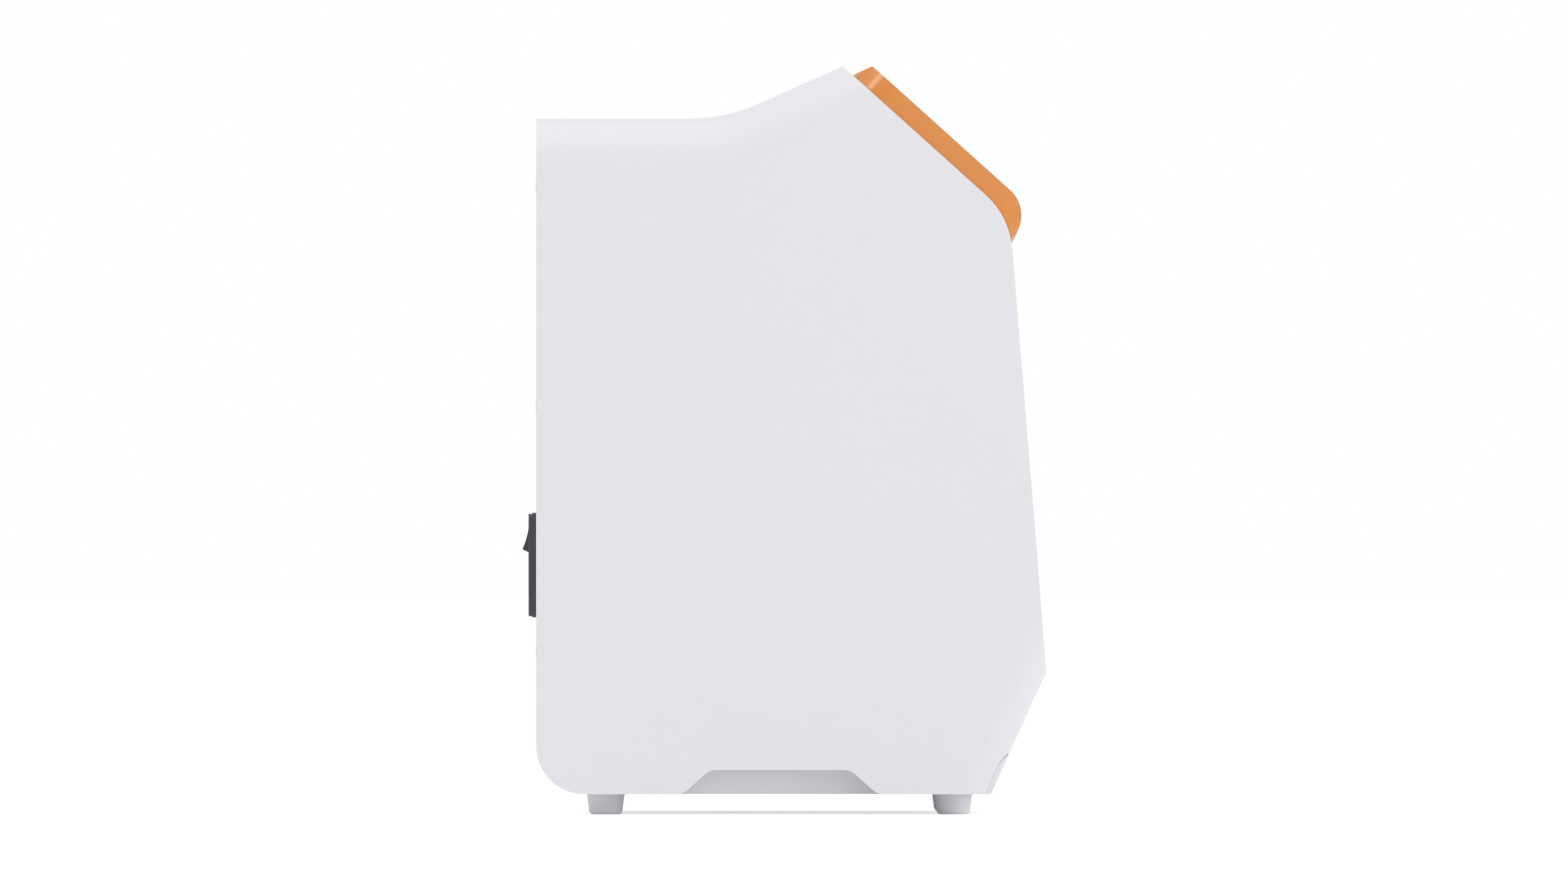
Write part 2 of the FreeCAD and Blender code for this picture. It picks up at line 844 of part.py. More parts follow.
def visor():
    """Amber tray over the slope: rounded top corners, finger lip below, hinge lugs under its top end."""
    outer = side_prism(visor_outline(0, visor_seat_gap), -visor_half, visor_half)
    outer = outer.common(slope_prism(visor_plan(0), -beyond, beyond))
    half = visor_half - visor_wall
    hollow = side_prism(visor_outline(visor_wall, -fascia_thick), -half, half)
    hollow = hollow.common(slope_prism(visor_plan(visor_wall), -beyond, beyond))
    tray = outer.cut(hollow)
    r = hinge_knuckle_radius
    low = hinge_out - r
    roof = visor_thick - visor_wall / 2
    inside = on_slope(visor_top_setback + visor_wall / 2 / math.sin(crest), visor_seat_gap)
    upper = meet(inside, ramp, on_slope(0, roof), -slope)
    side = meet(inside, ramp, on_slope(hinge_down_slope - r, 0), math.pi / 2 - slope)
    lug = [side, upper, on_slope(hinge_down_slope + r, roof),
           (*on_slope(hinge_down_slope + r, low), r * round_share),
           (*on_slope(hinge_down_slope - r, low), r * round_share)]
    for x0, x1 in lug_spans():
        tray = tray.fuse(side_prism(lug, x0, x1))
    for x in hinge_places():
        gap = hinge_arm_width / 2 + hinge_side_gap
        notch = rectangle(x - gap, x + gap, 0, hinge_down_slope, 0)
        tray = tray.cut(slope_prism(notch, -fascia_thick, hinge_notch_top))
    for x0, x1 in lug_spans():
        f, z = on_slope(hinge_down_slope, hinge_out)
        tray = tray.cut(rod_x(hinge_pin_radius, f, z, x0, x1))
    for outline in magnet_outlines(magnet_size + 2 * visor_wall):
        tray = tray.fuse(slope_prism(outline, magnet_top(), visor_thick - visor_wall / 2))
    return tray.removeSplitter()


def magnet_outlines(size):
    """Square outlines about the two magnets, just inside the visor's side walls."""
    x = visor_half - visor_wall - magnet_wall_gap - magnet_size / 2
    s = visor_opening_length - magnet_end_gap
    return [centred(size, size, side * x, s) for side in (-1, 1)]


def magnet_top():
    return visor_seat_gap + magnet_thick


def hinge_places():
    return (-hinge_spacing / 2, hinge_spacing / 2)


def lug_spans():
    """Widths of the visor's lugs, one each side of each hinge arm."""
    near = hinge_arm_width / 2 + hinge_side_gap
    far = near + hinge_lug_width
    return [(x + a, x + b) for x in hinge_places() for a, b in ((-far, -near), (near, far))]


def hinge_pins():
    f, z = on_slope(hinge_down_slope, hinge_out)
    reach = hinge_arm_width / 2 + hinge_side_gap + hinge_lug_width
    return [rod_x(hinge_pin_radius, f, z, x - reach, x + reach) for x in hinge_places()]


def hinge_arm(x):
    """Gooseneck arm: a pad under the ramp, a drop behind the visor's end and a knuckle on the pin."""
    r = hinge_knuckle_radius

    def under_ramp(n):
        return wall / math.sin(crest) + n / math.tan(crest)

    low = -hinge_arm_drop
    high = low + hinge_arm_thick
    rear = hinge_down_slope - r + hinge_neck_ease
    neck = [(*on_slope(hinge_down_slope - r, hinge_out + r), r * round_share),
            (*on_slope(hinge_down_slope + r, hinge_out + r), r * round_share),
            (*on_slope(hinge_down_slope + r, low), hinge_arm_thick), on_slope(under_ramp(low), low),
            on_slope(under_ramp(high), high), (*on_slope(rear, high), hinge_neck_round),
            on_slope(rear, hinge_out - r), on_slope(hinge_down_slope - r, hinge_out)]
    arm = side_prism(neck, x - hinge_arm_width / 2, x + hinge_arm_width / 2)
    along = hinge_pad_length * math.sin(crest)
    lift = hinge_arm_thick / math.sin(crest)
    pad = side_prism([on_slope(under_ramp(high), high), on_slope(under_ramp(high) + lift, high),
                      on_slope(under_ramp(high - along) + lift, high - along),
                      on_slope(under_ramp(high - along), high - along)],
                     x - hinge_pad_width / 2, x + hinge_pad_width / 2)
    f, z = on_slope(hinge_down_slope, hinge_out)
    hole = rod_x(hinge_pin_radius + pin_running_gap, f, z, x - hinge_arm_width, x + hinge_arm_width)
    return joined([arm, pad]).cut(hole)


def visor_magnets():
    return [slope_prism(outline, visor_seat_gap, magnet_top()) for outline in magnet_outlines(magnet_size)]


def magnet_plates():
    return [slope_prism(outline, -magnet_thick / 2, 0) for outline in magnet_outlines(magnet_size)]


# Display

def display_glass():
    outline = centred(display_width, display_height, 0, display_center_up, display_corner_radius)
    return face_prism(outline, -glass_thick, 0)


def display_module():
    cut = 2 * (display_ledge + module_gap)
    outline = centred(display_width - cut, display_height - cut, 0, display_center_up)
    return face_prism(outline, -glass_thick - module_thick, -glass_thick)


def display_bracket():
    """Sheet behind the display, screwed to the fascia's bosses, with a window for the cables."""
    back = -glass_thick - module_thick
    grow = 2 * (bracket_margin - display_ledge)
    plate = centred(display_width + grow, display_height + grow, 0, display_center_up)
    window = centred(display_width / 2, display_height / 2, 0, display_center_up)
    plate = face_prism(plate, back - bracket_thick, back)
    return plate.cut(face_prism(window, back - 2 * bracket_thick, back + bracket_thick))


# Power inlet

def inlet_z():
    return body_bottom + inlet_center_up


def rocker_place():
    return -rocker_pivot_out, inlet_z() + rocker_pivot_rise


def rocker_sweep():
    return math.hypot(rocker_half_length, rocker_tip_rise)


def inlet_housing():
    """Moulded inlet: two-step flange, three-pole socket, fuse drawer's slot and the rocker's well."""
    z = inlet_z()
    step = 2 * inlet_step_inset
    flange = front_prism(centred(inlet_width, inlet_height, inlet_side, z, inlet_corner_radius),
                         -inlet_flange_thick, 0)
    raised = front_prism(centred(inlet_width - step, inlet_height - step, inlet_side, z, inlet_corner_radius),
                         -inlet_proud, -inlet_flange_thick)
    body = front_prism(centred(inlet_body_width, inlet_body_height, inlet_side, z), 0, inlet_body_depth)
    inlet = joined([flange, raised, body])
    inlet = inlet.cut(front_prism(socket_outline(), -inlet_proud, socket_depth - inlet_proud))
    drawer = centred(fuse_width + 2 * fuse_gap, fuse_height + 2 * fuse_gap, inlet_side, z + fuse_rise)
    inlet = inlet.cut(front_prism(drawer, -inlet_proud, fuse_depth - inlet_proud + fuse_gap))
    f, pivot_z = rocker_place()
    reach = rocker_sweep() + rocker_gap
    half = rocker_width / 2 + rocker_gap
    well = block(inlet_side - half, inlet_side + half, -inlet_proud, f + reach,
                 pivot_z - reach, pivot_z + reach)
    pin = half + rocker_pin_reach
    inlet = inlet.cut(well)
    bore = rod_x(rocker_pin_radius + pin_running_gap, f, pivot_z, inlet_side - pin, inlet_side + pin)
    return inlet.cut(bore)


def socket_outline():
    """Socket opening with its two cut corners at the top."""
    z = inlet_z() - socket_drop
    x0, x1 = inlet_side - socket_width / 2, inlet_side + socket_width / 2
    z0, z1 = z - socket_height / 2, z + socket_height / 2
    c = socket_chamfer
    return [(x0, z0), (x1, z0), (x1, z1 - c), (x1 - c, z1), (x0 + c, z1), (x0, z1 - c)]


def inlet_pins():
    """Three flat contact blades, the earth blade above the other two."""
    z = inlet_z() - socket_drop
    tip = pin_short - inlet_proud
    root = socket_depth - inlet_proud
    places = [(-pin_spacing / 2, -pin_offset / 2), (pin_spacing / 2, -pin_offset / 2), (0, pin_offset / 2)]
    return [front_prism(centred(pin_width, pin_height, inlet_side + dx, z + dz), tip, root)
            for dx, dz in places]


def fuse_drawer():
    """Fuse drawer, flush with the inlet, with a nail notch along its top edge."""
    z = inlet_z() + fuse_rise
    face, back = -inlet_proud, fuse_depth - inlet_proud
    drawer = front_prism(centred(fuse_width, fuse_height, inlet_side, z), face, back)
    half = fuse_width / 2 - fuse_end_wall
    trough = block(inlet_side - half, inlet_side + half, face + fuse_end_wall, back - fuse_end_wall,
                   z - fuse_height / 2 + fuse_rim + fuse_notch, z + fuse_height)
    notch = block(inlet_side - fuse_width / 4, inlet_side + fuse_width / 4, face - past, face + fuse_notch,
                  z + fuse_height / 2 - fuse_notch, z + fuse_height)
    return drawer.cut(trough).cut(notch)


def power_rocker():
    """Rocker switch with a hollowed face, tipped so that its lower end stands out."""
    f, z = rocker_place()
    sweep = rocker_sweep()
    inner = math.sqrt(sweep ** 2 - rocker_root ** 2)
    high = rocker_half_length
    x0 = inlet_side - rocker_width / 2

    def at(out, up):
        return Vector(x0, rear_y - f + out, z + up)

    hollow = at(rocker_tip_rise - rocker_hollow, 0)
    face = Part.Arc(at(rocker_tip_rise, high), hollow, at(rocker_tip_rise, -high))
    foot_arc = Part.Arc(at(rocker_tip_rise, -high), at(0, -sweep), at(-rocker_root, -inner))
    head_arc = Part.Arc(at(-rocker_root, inner), at(0, sweep), at(rocker_tip_rise, high))
    base = Part.makeLine(at(-rocker_root, -inner), at(-rocker_root, inner))
    wire = Part.Wire([face.toShape(), foot_arc.toShape(), base, head_arc.toShape()])
    rocker = Part.Face(wire).extrude(Vector(rocker_width, 0, 0))
    reach = rocker_width / 2 + rocker_gap + rocker_pin_reach - pin_end_gap
    rocker = rocker.fuse(rod_x(rocker_pin_radius, f, z, inlet_side - reach, inlet_side + reach))
    rocker.rotate(Vector(0, rear_y - f, z), Vector(1, 0, 0), rocker_tilt)
    return rocker


# Fans, built standing on z = 0 with the air leaving upwards

def fan(size, depth):
    """Square fan: a frame whose crossed struts carry a pin, and a bladed rotor turning on that pin."""
    throat = size / 2 - fan_wall
    hub = throat * fan_hub_share
    frame = Part.makeBox(size, size, depth, Vector(-size / 2, -size / 2, 0))
    frame = frame.cut(Part.makeCylinder(throat, depth))
    for angle in (45, 135):
        strut = Part.makeBox(size, fan_strut_width, fan_wall, Vector(-size / 2, -fan_strut_width / 2, 0))
        strut.rotate(Vector(0, 0, 0), Vector(0, 0, 1), angle)
        frame = frame.fuse(strut)
    frame = frame.fuse(Part.makeCylinder(fan_pin_radius, depth - 2 * fan_wall)).removeSplitter()
    low = fan_wall + fan_tip_gap / 2
    tall = depth - fan_wall - low
    rotor = Part.makeCylinder(hub, tall, Vector(0, 0, low))
    rise = tall * fan_blade_share
    chord = (rise - fan_blade_thick) / math.sin(math.radians(fan_pitch))
    root = hub * fan_root_share
    reach = math.sqrt((throat - fan_tip_gap) ** 2 - (chord / 2) ** 2) - root
    for i in range(fan_blades):
        corner = Vector(root, -chord / 2, -fan_blade_thick / 2)
        blade = Part.makeBox(reach, chord, fan_blade_thick, corner)
        blade.rotate(Vector(0, 0, 0), Vector(1, 0, 0), fan_pitch)
        blade.translate(Vector(0, 0, low + tall / 2))
        blade.rotate(Vector(0, 0, 0), Vector(0, 0, 1), i * 360 / fan_blades)
        rotor = rotor.fuse(blade)
    rotor = rotor.cut(Part.makeCylinder(fan_pin_radius + pin_running_gap, depth))
    return frame, rotor.removeSplitter()


def exhaust_fan():
    """Fan behind the rear panel, blowing out."""
    pieces = fan(exhaust_fan_size, exhaust_fan_depth)
    for piece in pieces:
        piece.rotate(Vector(0, 0, 0), Vector(1, 0, 0), -90)
        piece.translate(Vector(exhaust_fan_side, rear_y - rear_panel_thick - exhaust_fan_depth,
                               body_bottom + exhaust_fan_up))
    return pieces


def led_fan():
    """Fan under the heat sink, blowing up into its fins."""
    pieces = fan(led_fan_size, led_fan_depth)
    for piece in pieces:
        piece.translate(Vector(0, rear_y - vat_f, sink_low() - led_fan_depth))
    return pieces


# Chamber, vat and exposure unit

def deck_plate():
    """Chamber floor with the mask's window and the holes for the screw and the clamp studs."""
    half = half_width - wall - deck_side_gap
    front = front_forward(deck_z, fascia_thick) - deck_front_gap
    plate = plan_prism(rectangle(-half, half, bulkhead_forward, front), deck_under, deck_z)
    window = centred(lcd_width + 2 * lcd_gap, lcd_length + 2 * lcd_gap, 0, vat_f)
    plate = plate.cut(plan_prism(window, deck_under - past, deck_z + past))
    plate = plate.cut(rod_z(bearing_radius, 0, screw_f, deck_under - past, deck_z + past))
    for x in vat_knob_places():
        hole = rod_z(vat_stud_radius + pin_running_gap, x, vat_f, deck_under - past, deck_z + past)
        plate = plate.cut(hole)
    return plate


def bulkhead():
    """Wall behind the column, closing the chamber off up to the roof."""
    front = bulkhead_forward + bulkhead_thick
    sheet = block(-half_width, half_width, bulkhead_forward, front, deck_z, peak_z)
    return sheet.common(cavity(wall + deck_side_gap))


def vat_knob_places():
    x = vat_width / 2 + vat_ear_reach / 2
    return (-x, x)


def vat():
    """Resin tank: rounded tray with a rim, an open floor for the film and an ear each side for its clamps."""
    top = deck_z + vat_height
    r = vat_corner_radius
    tray = plan_prism(centred(vat_width, vat_length, 0, vat_f, r), deck_z, top)
    rim = centred(vat_width + 2 * vat_rim_width, vat_length + 2 * vat_rim_width, 0, vat_f, r + vat_rim_width)
    tray = tray.fuse(plan_prism(rim, top - vat_rim_thick, top))
    ear = clipped(vat_width + 2 * vat_ear_reach, vat_ear_length, 0, vat_f, vat_ear_clip)
    tray = tray.fuse(plan_prism(ear, deck_z, deck_z + vat_ear_thick))
    inside = centred(vat_width - 2 * vat_wall, vat_length - 2 * vat_wall, 0, vat_f, r - vat_wall)
    tray = tray.cut(plan_prism(inside, deck_z + vat_floor, top + past))
    grow = 2 * (film_frame_width + film_frame_gap)
    window = centred(film_window_width + grow, film_window_length + grow, 0, vat_f)
    tray = tray.cut(plan_prism(window, deck_z - past, top))
    film = centred(film_width + 2 * film_frame_gap, film_length + 2 * film_frame_gap, 0, vat_f)
    tray = tray.cut(plan_prism(film, deck_z - past, deck_z + film_thick))
    for x in vat_knob_places():
        hole = rod_z(vat_stud_radius + knob_lift, x, vat_f, deck_z - past, deck_z + vat_ear_thick + past)
        tray = tray.cut(hole)
    return tray.removeSplitter()


def vat_film():
    return plan_prism(centred(film_width, film_length, 0, vat_f), deck_z, deck_z + film_thick)


def film_clamp_frame():
    """Ring that presses the film flat round the exposure window."""
    grow = 2 * film_frame_width
    outer = centred(film_window_width + grow, film_window_length + grow, 0, vat_f)
    inner = centred(film_window_width, film_window_length, 0, vat_f)
    low = deck_z + film_thick
    ring = plan_prism(outer, low, low + film_frame_thick)
    return ring.cut(plan_prism(inner, low - past, low + film_frame_thick + past))


def scalloped_knob(radius, height, x, f, z):
    """Round knob with finger scallops about its edge."""
    knob = rod_z(radius, x, f, z, z + height)
    for i in range(knob_scallops):
        angle = 2 * math.pi * (i + 0.5) / knob_scallops
        reach = radius + knob_scallop_radius * 0.6
        cut = Part.makeCylinder(knob_scallop_radius, height * 2,
                                Vector(x + reach * math.cos(angle), rear_y - f + reach * math.sin(angle), z))
        knob = knob.cut(cut)
    return knob


def vat_knob(x):
    low = deck_z + vat_ear_thick + knob_lift
    knob = scalloped_knob(vat_knob_radius, vat_knob_height, x, vat_f, low)
    return joined([knob, rod_z(vat_stud_radius, x, vat_f, deck_under + pin_end_gap, low)])


def lcd_panel():
    return plan_prism(centred(lcd_width, lcd_length, 0, vat_f), deck_under, deck_z)


def collimator_lens():
    width = tunnel_top_width + 2 * lens_overlap - 2 * lcd_gap
    length = tunnel_top_length + 2 * lens_overlap - 2 * lcd_gap
    return plan_prism(centred(width, length, 0, vat_f), deck_under - lens_thick, deck_under)


def tunnel_low():
    return deck_under - tunnel_depth


def tapered(lower, upper, z0, z1):
    """Tapered block about the vat's middle, from one (width, length) at z0 to another at z1."""
    (w0, d0), (w1, d1) = lower, upper
    wedge = Part.makeWedge(-w0 / 2, 0, -d0 / 2, -d1 / 2, -w1 / 2, w0 / 2, z1 - z0, d0 / 2, d1 / 2, w1 / 2)
    wedge.rotate(Vector(0, 0, 0), Vector(1, 0, 0), 90)
    wedge.translate(Vector(0, rear_y - vat_f, z0))
    return wedge


def light_tunnel():
    """Tapered reflector between the LED board and the mask, hung from the deck by its flange."""
    t = 2 * tunnel_wall
    flange_low = deck_under - tunnel_flange_thick
    margin = 2 * tunnel_flange_margin
    flange = plan_prism(centred(lcd_width + margin, lcd_length + margin, 0, vat_f), flange_low, deck_under)
    outer = tapered((tunnel_bottom_width + t, tunnel_bottom_length + t),
                    (tunnel_top_width + t, tunnel_top_length + t), tunnel_low(), flange_low)
    inner = tapered((tunnel_bottom_width, tunnel_bottom_length), (tunnel_top_width, tunnel_top_length),
                    tunnel_low(), flange_low)
    tunnel = joined([flange, outer]).cut(inner)
    opening = centred(tunnel_top_width, tunnel_top_length, 0, vat_f)
    tunnel = tunnel.cut(plan_prism(opening, flange_low, deck_under))
    seat = centred(tunnel_top_width + 2 * lens_overlap, tunnel_top_length + 2 * lens_overlap, 0, vat_f)
    return tunnel.cut(plan_prism(seat, deck_under - lens_thick, deck_under))


def led_board():
    """Board with its grid of emitters, closing the tunnel's lower end."""
    grow = 2 * (tunnel_wall + led_board_margin)
    low = tunnel_low() - led_board_thick
    outline = centred(tunnel_bottom_width + grow, tunnel_bottom_length + grow, 0, vat_f)
    board = plan_prism(outline, low, tunnel_low())
    emitters = []
    for i in range(led_columns):
        for j in range(led_rows):
            x = (i - (led_columns - 1) / 2) * led_pitch
            f = vat_f + (j - (led_rows - 1) / 2) * led_pitch
            emitter = centred(led_size, led_size, x, f)
            emitters.append(plan_prism(emitter, tunnel_low(), tunnel_low() + led_height))
    return board.fuse(emitters)


def sink_size():
    grow = 2 * (tunnel_wall + led_board_margin + sink_margin)
    return tunnel_bottom_width + grow, tunnel_bottom_length + grow


def sink_low():
    return tunnel_low() - led_board_thick - sink_base - sink_fin_height


def heat_sink():
    """Finned block under the LED board."""
    width, length = sink_size()
    top = tunnel_low() - led_board_thick
    base = plan_prism(centred(width, length, 0, vat_f), top - sink_base, top)
    pitch = (width - sink_fin_thick) / (sink_fins - 1)
    fins = []
    for i in range(sink_fins):
        x = (i - (sink_fins - 1) / 2) * pitch
        fins.append(plan_prism(centred(sink_fin_thick, length, x, vat_f), sink_low(), top - sink_base))
    return joined([base] + fins)


# Z axis

def z_column():
    """Upright plate behind the rails, lightened by a slot."""
    half = column_width / 2
    plate = front_prism(rectangle(-half, half, deck_z, column_top), column_f, rail_f)
    border = rail_spacing / 2
    slot = rectangle(-rail_spacing / 4, rail_spacing / 4, deck_z + border, column_top - border)
    return plate.cut(front_prism(slot, column_f - past, rail_f + past))


def linear_rails():
    """Two guide rails with the hollow flanks their carriages run in."""
    rails = []
    low, high = deck_z + rail_end_gap, column_top - rail_end_gap
    waist = rail_width / 2 - rail_width / 8
    for x in (-rail_spacing / 2, rail_spacing / 2):
        half = rail_width / 2
        flank = [(half, 0), (half, rail_flank_low), (waist, rail_waist_low), (waist, rail_waist_high),
                 (half, rail_flank_high), (half, 1)]
        left = [(x - out, rail_f + rail_height * share) for out, share in flank]
        right = [(x + out, rail_f + rail_height * share) for out, share in reversed(flank)]
        rails.append(plan_prism(left + right, low, high))
    return rails


def rail_blocks():
    """Carriage blocks that straddle the rails."""
    blocks = []
    middle = (carriage_low + carriage_high) / 2
    z0, z1 = middle - rail_block_length / 2, middle + rail_block_length / 2
    for x in (-rail_spacing / 2, rail_spacing / 2):
        half = rail_block_width / 2
        body = block(x - half, x + half, rail_f + rail_block_lift, block_front_f, z0, z1)
        groove = rail_width / 2 + rail_gap
        groove_front = rail_f + rail_height + rail_gap
        body = body.cut(block(x - groove, x + groove, rail_f, groove_front, z0 - past, z1 + past))
        blocks.append(body)
    return blocks


def carriage():
    """Block across both rails, bored for the lead screw and its nut."""
    outline = clipped(carriage_width, carriage_depth, 0, screw_f, carriage_clip)
    body = plan_prism(outline, carriage_low, carriage_high)
    return body.cut(rod_z(nut_barrel_radius, 0, screw_f, carriage_low - past, carriage_high + past))


def lead_nut():
    """Flanged nut, pressed into the carriage from below."""
    barrel = rod_z(nut_barrel_radius, 0, screw_f, carriage_low, carriage_low + nut_barrel_length)
    flange = rod_z(nut_flange_radius, 0, screw_f, carriage_low - nut_flange_thick, carriage_low)
    bore = rod_z(screw_radius + pin_running_gap, 0, screw_f, carriage_low - beyond, carriage_high)
    return joined([barrel, flange]).cut(bore)


def platform_arm():
    """Cantilever from the carriage to over the vat, with two ribs along its top."""
    half = arm_width / 2
    flange_half = arm_width / 2 + 8
    tip = vat_f + arm_overhang
    top = arm_z + arm_thick
    tip_round = half * arm_tip_share
    beam = plan_prism([(-half, carriage_front_f), (half, carriage_front_f), (half, tip, tip_round),
                       (-half, tip, tip_round)], arm_z, top)
    flange = front_prism(rectangle(-flange_half, flange_half, carriage_low, carriage_high), carriage_front_f,
                         carriage_front_f + arm_flange_thick)
    pieces = [beam, flange]
    start = carriage_front_f + arm_flange_thick / 2
    for x in (-half + arm_rib_thick, half - 2 * arm_rib_thick):
        peak = top + carriage_rise
        rib = [(start, top - past), (start, peak), (start + arm_rib_thick * 2, peak),
               (start + arm_rib_length, top - past)]
        pieces.append(side_prism(rib, x, x + arm_rib_thick))
    hole = rod_z(stud_radius + stud_hole_gap, 0, vat_f, arm_z - past, top + arm_rib_height)
    return joined(pieces).cut(hole)


def build_platform():
    """Flat print surface with a sloped cap so that resin runs off, a stem and the stud for its knob."""
    r = platform_clip
    cap_z = platform_z + platform_thick
    plate = plan_prism(clipped(platform_width, platform_length, 0, vat_f, r), platform_z, cap_z)
    stem_size = 2 * platform_stem_radius
    cap = tapered((platform_width - 2 * r, platform_length - 2 * r), (stem_size, stem_size), cap_z,
                  cap_z + platform_cap_height)
    stem = rod_z(platform_stem_radius, 0, vat_f, cap_z, arm_z)
    stud_top = arm_z + arm_thick + knob_lift + platform_knob_height / 2
    return joined([plate, cap, stem, rod_z(stud_radius, 0, vat_f, arm_z, stud_top)])


def platform_knob():
    low = arm_z + arm_thick + knob_lift
    knob = scalloped_knob(platform_knob_radius, platform_knob_height, 0, vat_f, low)
    bore = platform_knob_height / 2 + knob_lift
    return knob.cut(rod_z(stud_radius + pin_running_gap, 0, vat_f, low - past, low + bore))


def motor_top():
    return deck_under - motor_bracket_height


def plate_top():
    return motor_top() + motor_bracket_thick


def coupler_low():
    return plate_top() + coupler_lift


def lead_screw():
    low = coupler_low() + coupler_height - coupler_bite
    return rod_z(screw_radius, 0, screw_f, low, column_top + top_bracket_thick + screw_top_rise)


def shaft_coupler():
    """Clamp coupler between the motor's shaft and the lead screw."""
    low, high = coupler_low(), coupler_low() + coupler_height
    body = rod_z(coupler_radius, 0, screw_f, low, high)
    body = body.cut(rod_z(motor_shaft_radius, 0, screw_f, low - past, high))
    return body.cut(rod_z(screw_radius, 0, screw_f, high - coupler_bite, high + past))


def motor_shaft():
    high = min(motor_top() + motor_shaft_reach, coupler_low() + coupler_height - coupler_bite)
    return rod_z(motor_shaft_radius, 0, screw_f, motor_top() - motor_shaft_root + pin_end_gap, high)


def z_motor():
    """Square stepper motor with its pilot boss, bored for the shaft."""
    top = motor_top()
    low = top - motor_height
    outline = clipped(motor_size, motor_size, 0, screw_f, motor_corner)
    boss = rod_z(motor_boss_radius, 0, screw_f, top, top + motor_boss_height)
    hole = rod_z(motor_shaft_radius + pin_running_gap, 0, screw_f, top - motor_shaft_root, top + beyond)
    return joined([plan_prism(outline, low, top), boss]).cut(hole)


def motor_bracket():
    """Bent bracket that hangs the motor under the deck."""
    t = motor_bracket_thick
    half = motor_size / 2 + 2 * t
    wing = half + motor_bracket_flange
    low = motor_top()
    outline = [(-half, low), (half, low), (half, deck_under - t), (wing, deck_under - t), (wing, deck_under),
               (half - t, deck_under), (half - t, low + t), (t - half, low + t), (t - half, deck_under),
               (-wing, deck_under), (-wing, deck_under - t), (-half, deck_under - t)]
    bracket = front_prism(outline, screw_f - motor_size / 2, screw_f + motor_size / 2)
    return bracket.cut(rod_z(motor_boss_radius + seam, 0, screw_f, low - past, low + t + past))


def screw_bearings():
    """Bushes that steady the screw in the deck and in the top bracket."""
    bushes = []
    for low, thick in ((deck_under, deck_thick), (column_top, top_bracket_thick)):
        bush = rod_z(bearing_radius, 0, screw_f, low, low + thick)
        bushes.append(bush.cut(rod_z(screw_radius + pin_running_gap, 0, screw_f, low, low + thick)))
    return bushes


def top_bracket():
    half = top_bracket_width / 2
    front = screw_f + top_bracket_front
    cut = top_bracket_clip
    outline = [(-half, column_f), (half, column_f), (half, front - cut), (half - cut, front),
               (cut - half, front), (-half, front - cut)]
    plate = plan_prism(outline, column_top, column_top + top_bracket_thick)
    return plate.cut(rod_z(bearing_radius, 0, screw_f, column_top - past, column_top + beyond))


def end_stop():
    """Limit switch under the top bracket, above the carriage."""
    x = end_stop_side
    low = column_top - end_stop_height
    body = block(x - end_stop_width / 2, x + end_stop_width / 2, screw_f - end_stop_depth / 2,
                 screw_f + end_stop_depth / 2, low, column_top)
    plunger = plan_prism(centred(plunger_size, plunger_size, x, screw_f), low - plunger_reach, low)
    return joined([body, plunger])


# Frames, supply and boards

def side_frame(side):
    """Bent sheet from the base pan up to the deck, with a lightening window."""
    t = frame_sheet
    outer = frame_side + t
    inner = frame_side - frame_flange
    front = frame_front_f
    outline = [(inner, pan_top), (outer, pan_top), (outer, deck_under), (inner, deck_under),
               (inner, deck_under - t), (frame_side, deck_under - t), (frame_side, pan_top + t),
               (inner, pan_top + t)]
    sheet = front_prism(outline, bulkhead_forward, front)
    b = frame_border
    window = clipped(front - bulkhead_forward - 2 * b, deck_under - pan_top - 2 * b,
                     (front + bulkhead_forward) / 2, (deck_under + pan_top) / 2, b / 2)
    sheet = sheet.cut(side_prism(window, frame_side - t, outer + t))
    return sheet if side > 0 else mirrored(sheet)


def power_supply():
    """Sheet case on the pan with slots in its lid and a terminal block on a shelf at its front end."""
    x0, x1 = supply_side - supply_width / 2, supply_side + supply_width / 2
    f0, f1 = supply_forward, supply_forward + supply_length
    shelf_f = f1 - supply_shelf
    shelf_z = pan_top + supply_height / 2
    top = pan_top + supply_height
    t = frame_sheet
    case = block(x0, x1, f0, f1, pan_top, top)
    case = case.cut(block(x0 + t, x1 - t, f0 + t, shelf_f - t, pan_top + t, top - t))
    pitch = supply_width / (supply_slots + 1)
    for i in range(supply_slots):
        slot = centred(vent_slot_width, supply_length / 2, x0 + (i + 1) * pitch, (f0 + shelf_f) / 2)
        case = case.cut(plan_prism(slot, top - t, top))
    shelf = block(x0 + t, x1 - t, shelf_f, f1, shelf_z, top)
    terminals = block(x0 + terminal_inset, x1 - terminal_inset, shelf_f + t, shelf_f + t + terminal_depth,
                      shelf_z, top - terminal_drop)
    return joined([case.cut(shelf), terminals])


def board_places():
    x = board_width / 2 - board_hole_inset
    half = board_length / 2 - board_hole_inset
    return [(sx * x, board_f + sf * half) for sx in (-1, 1) for sf in (-1, 1)]


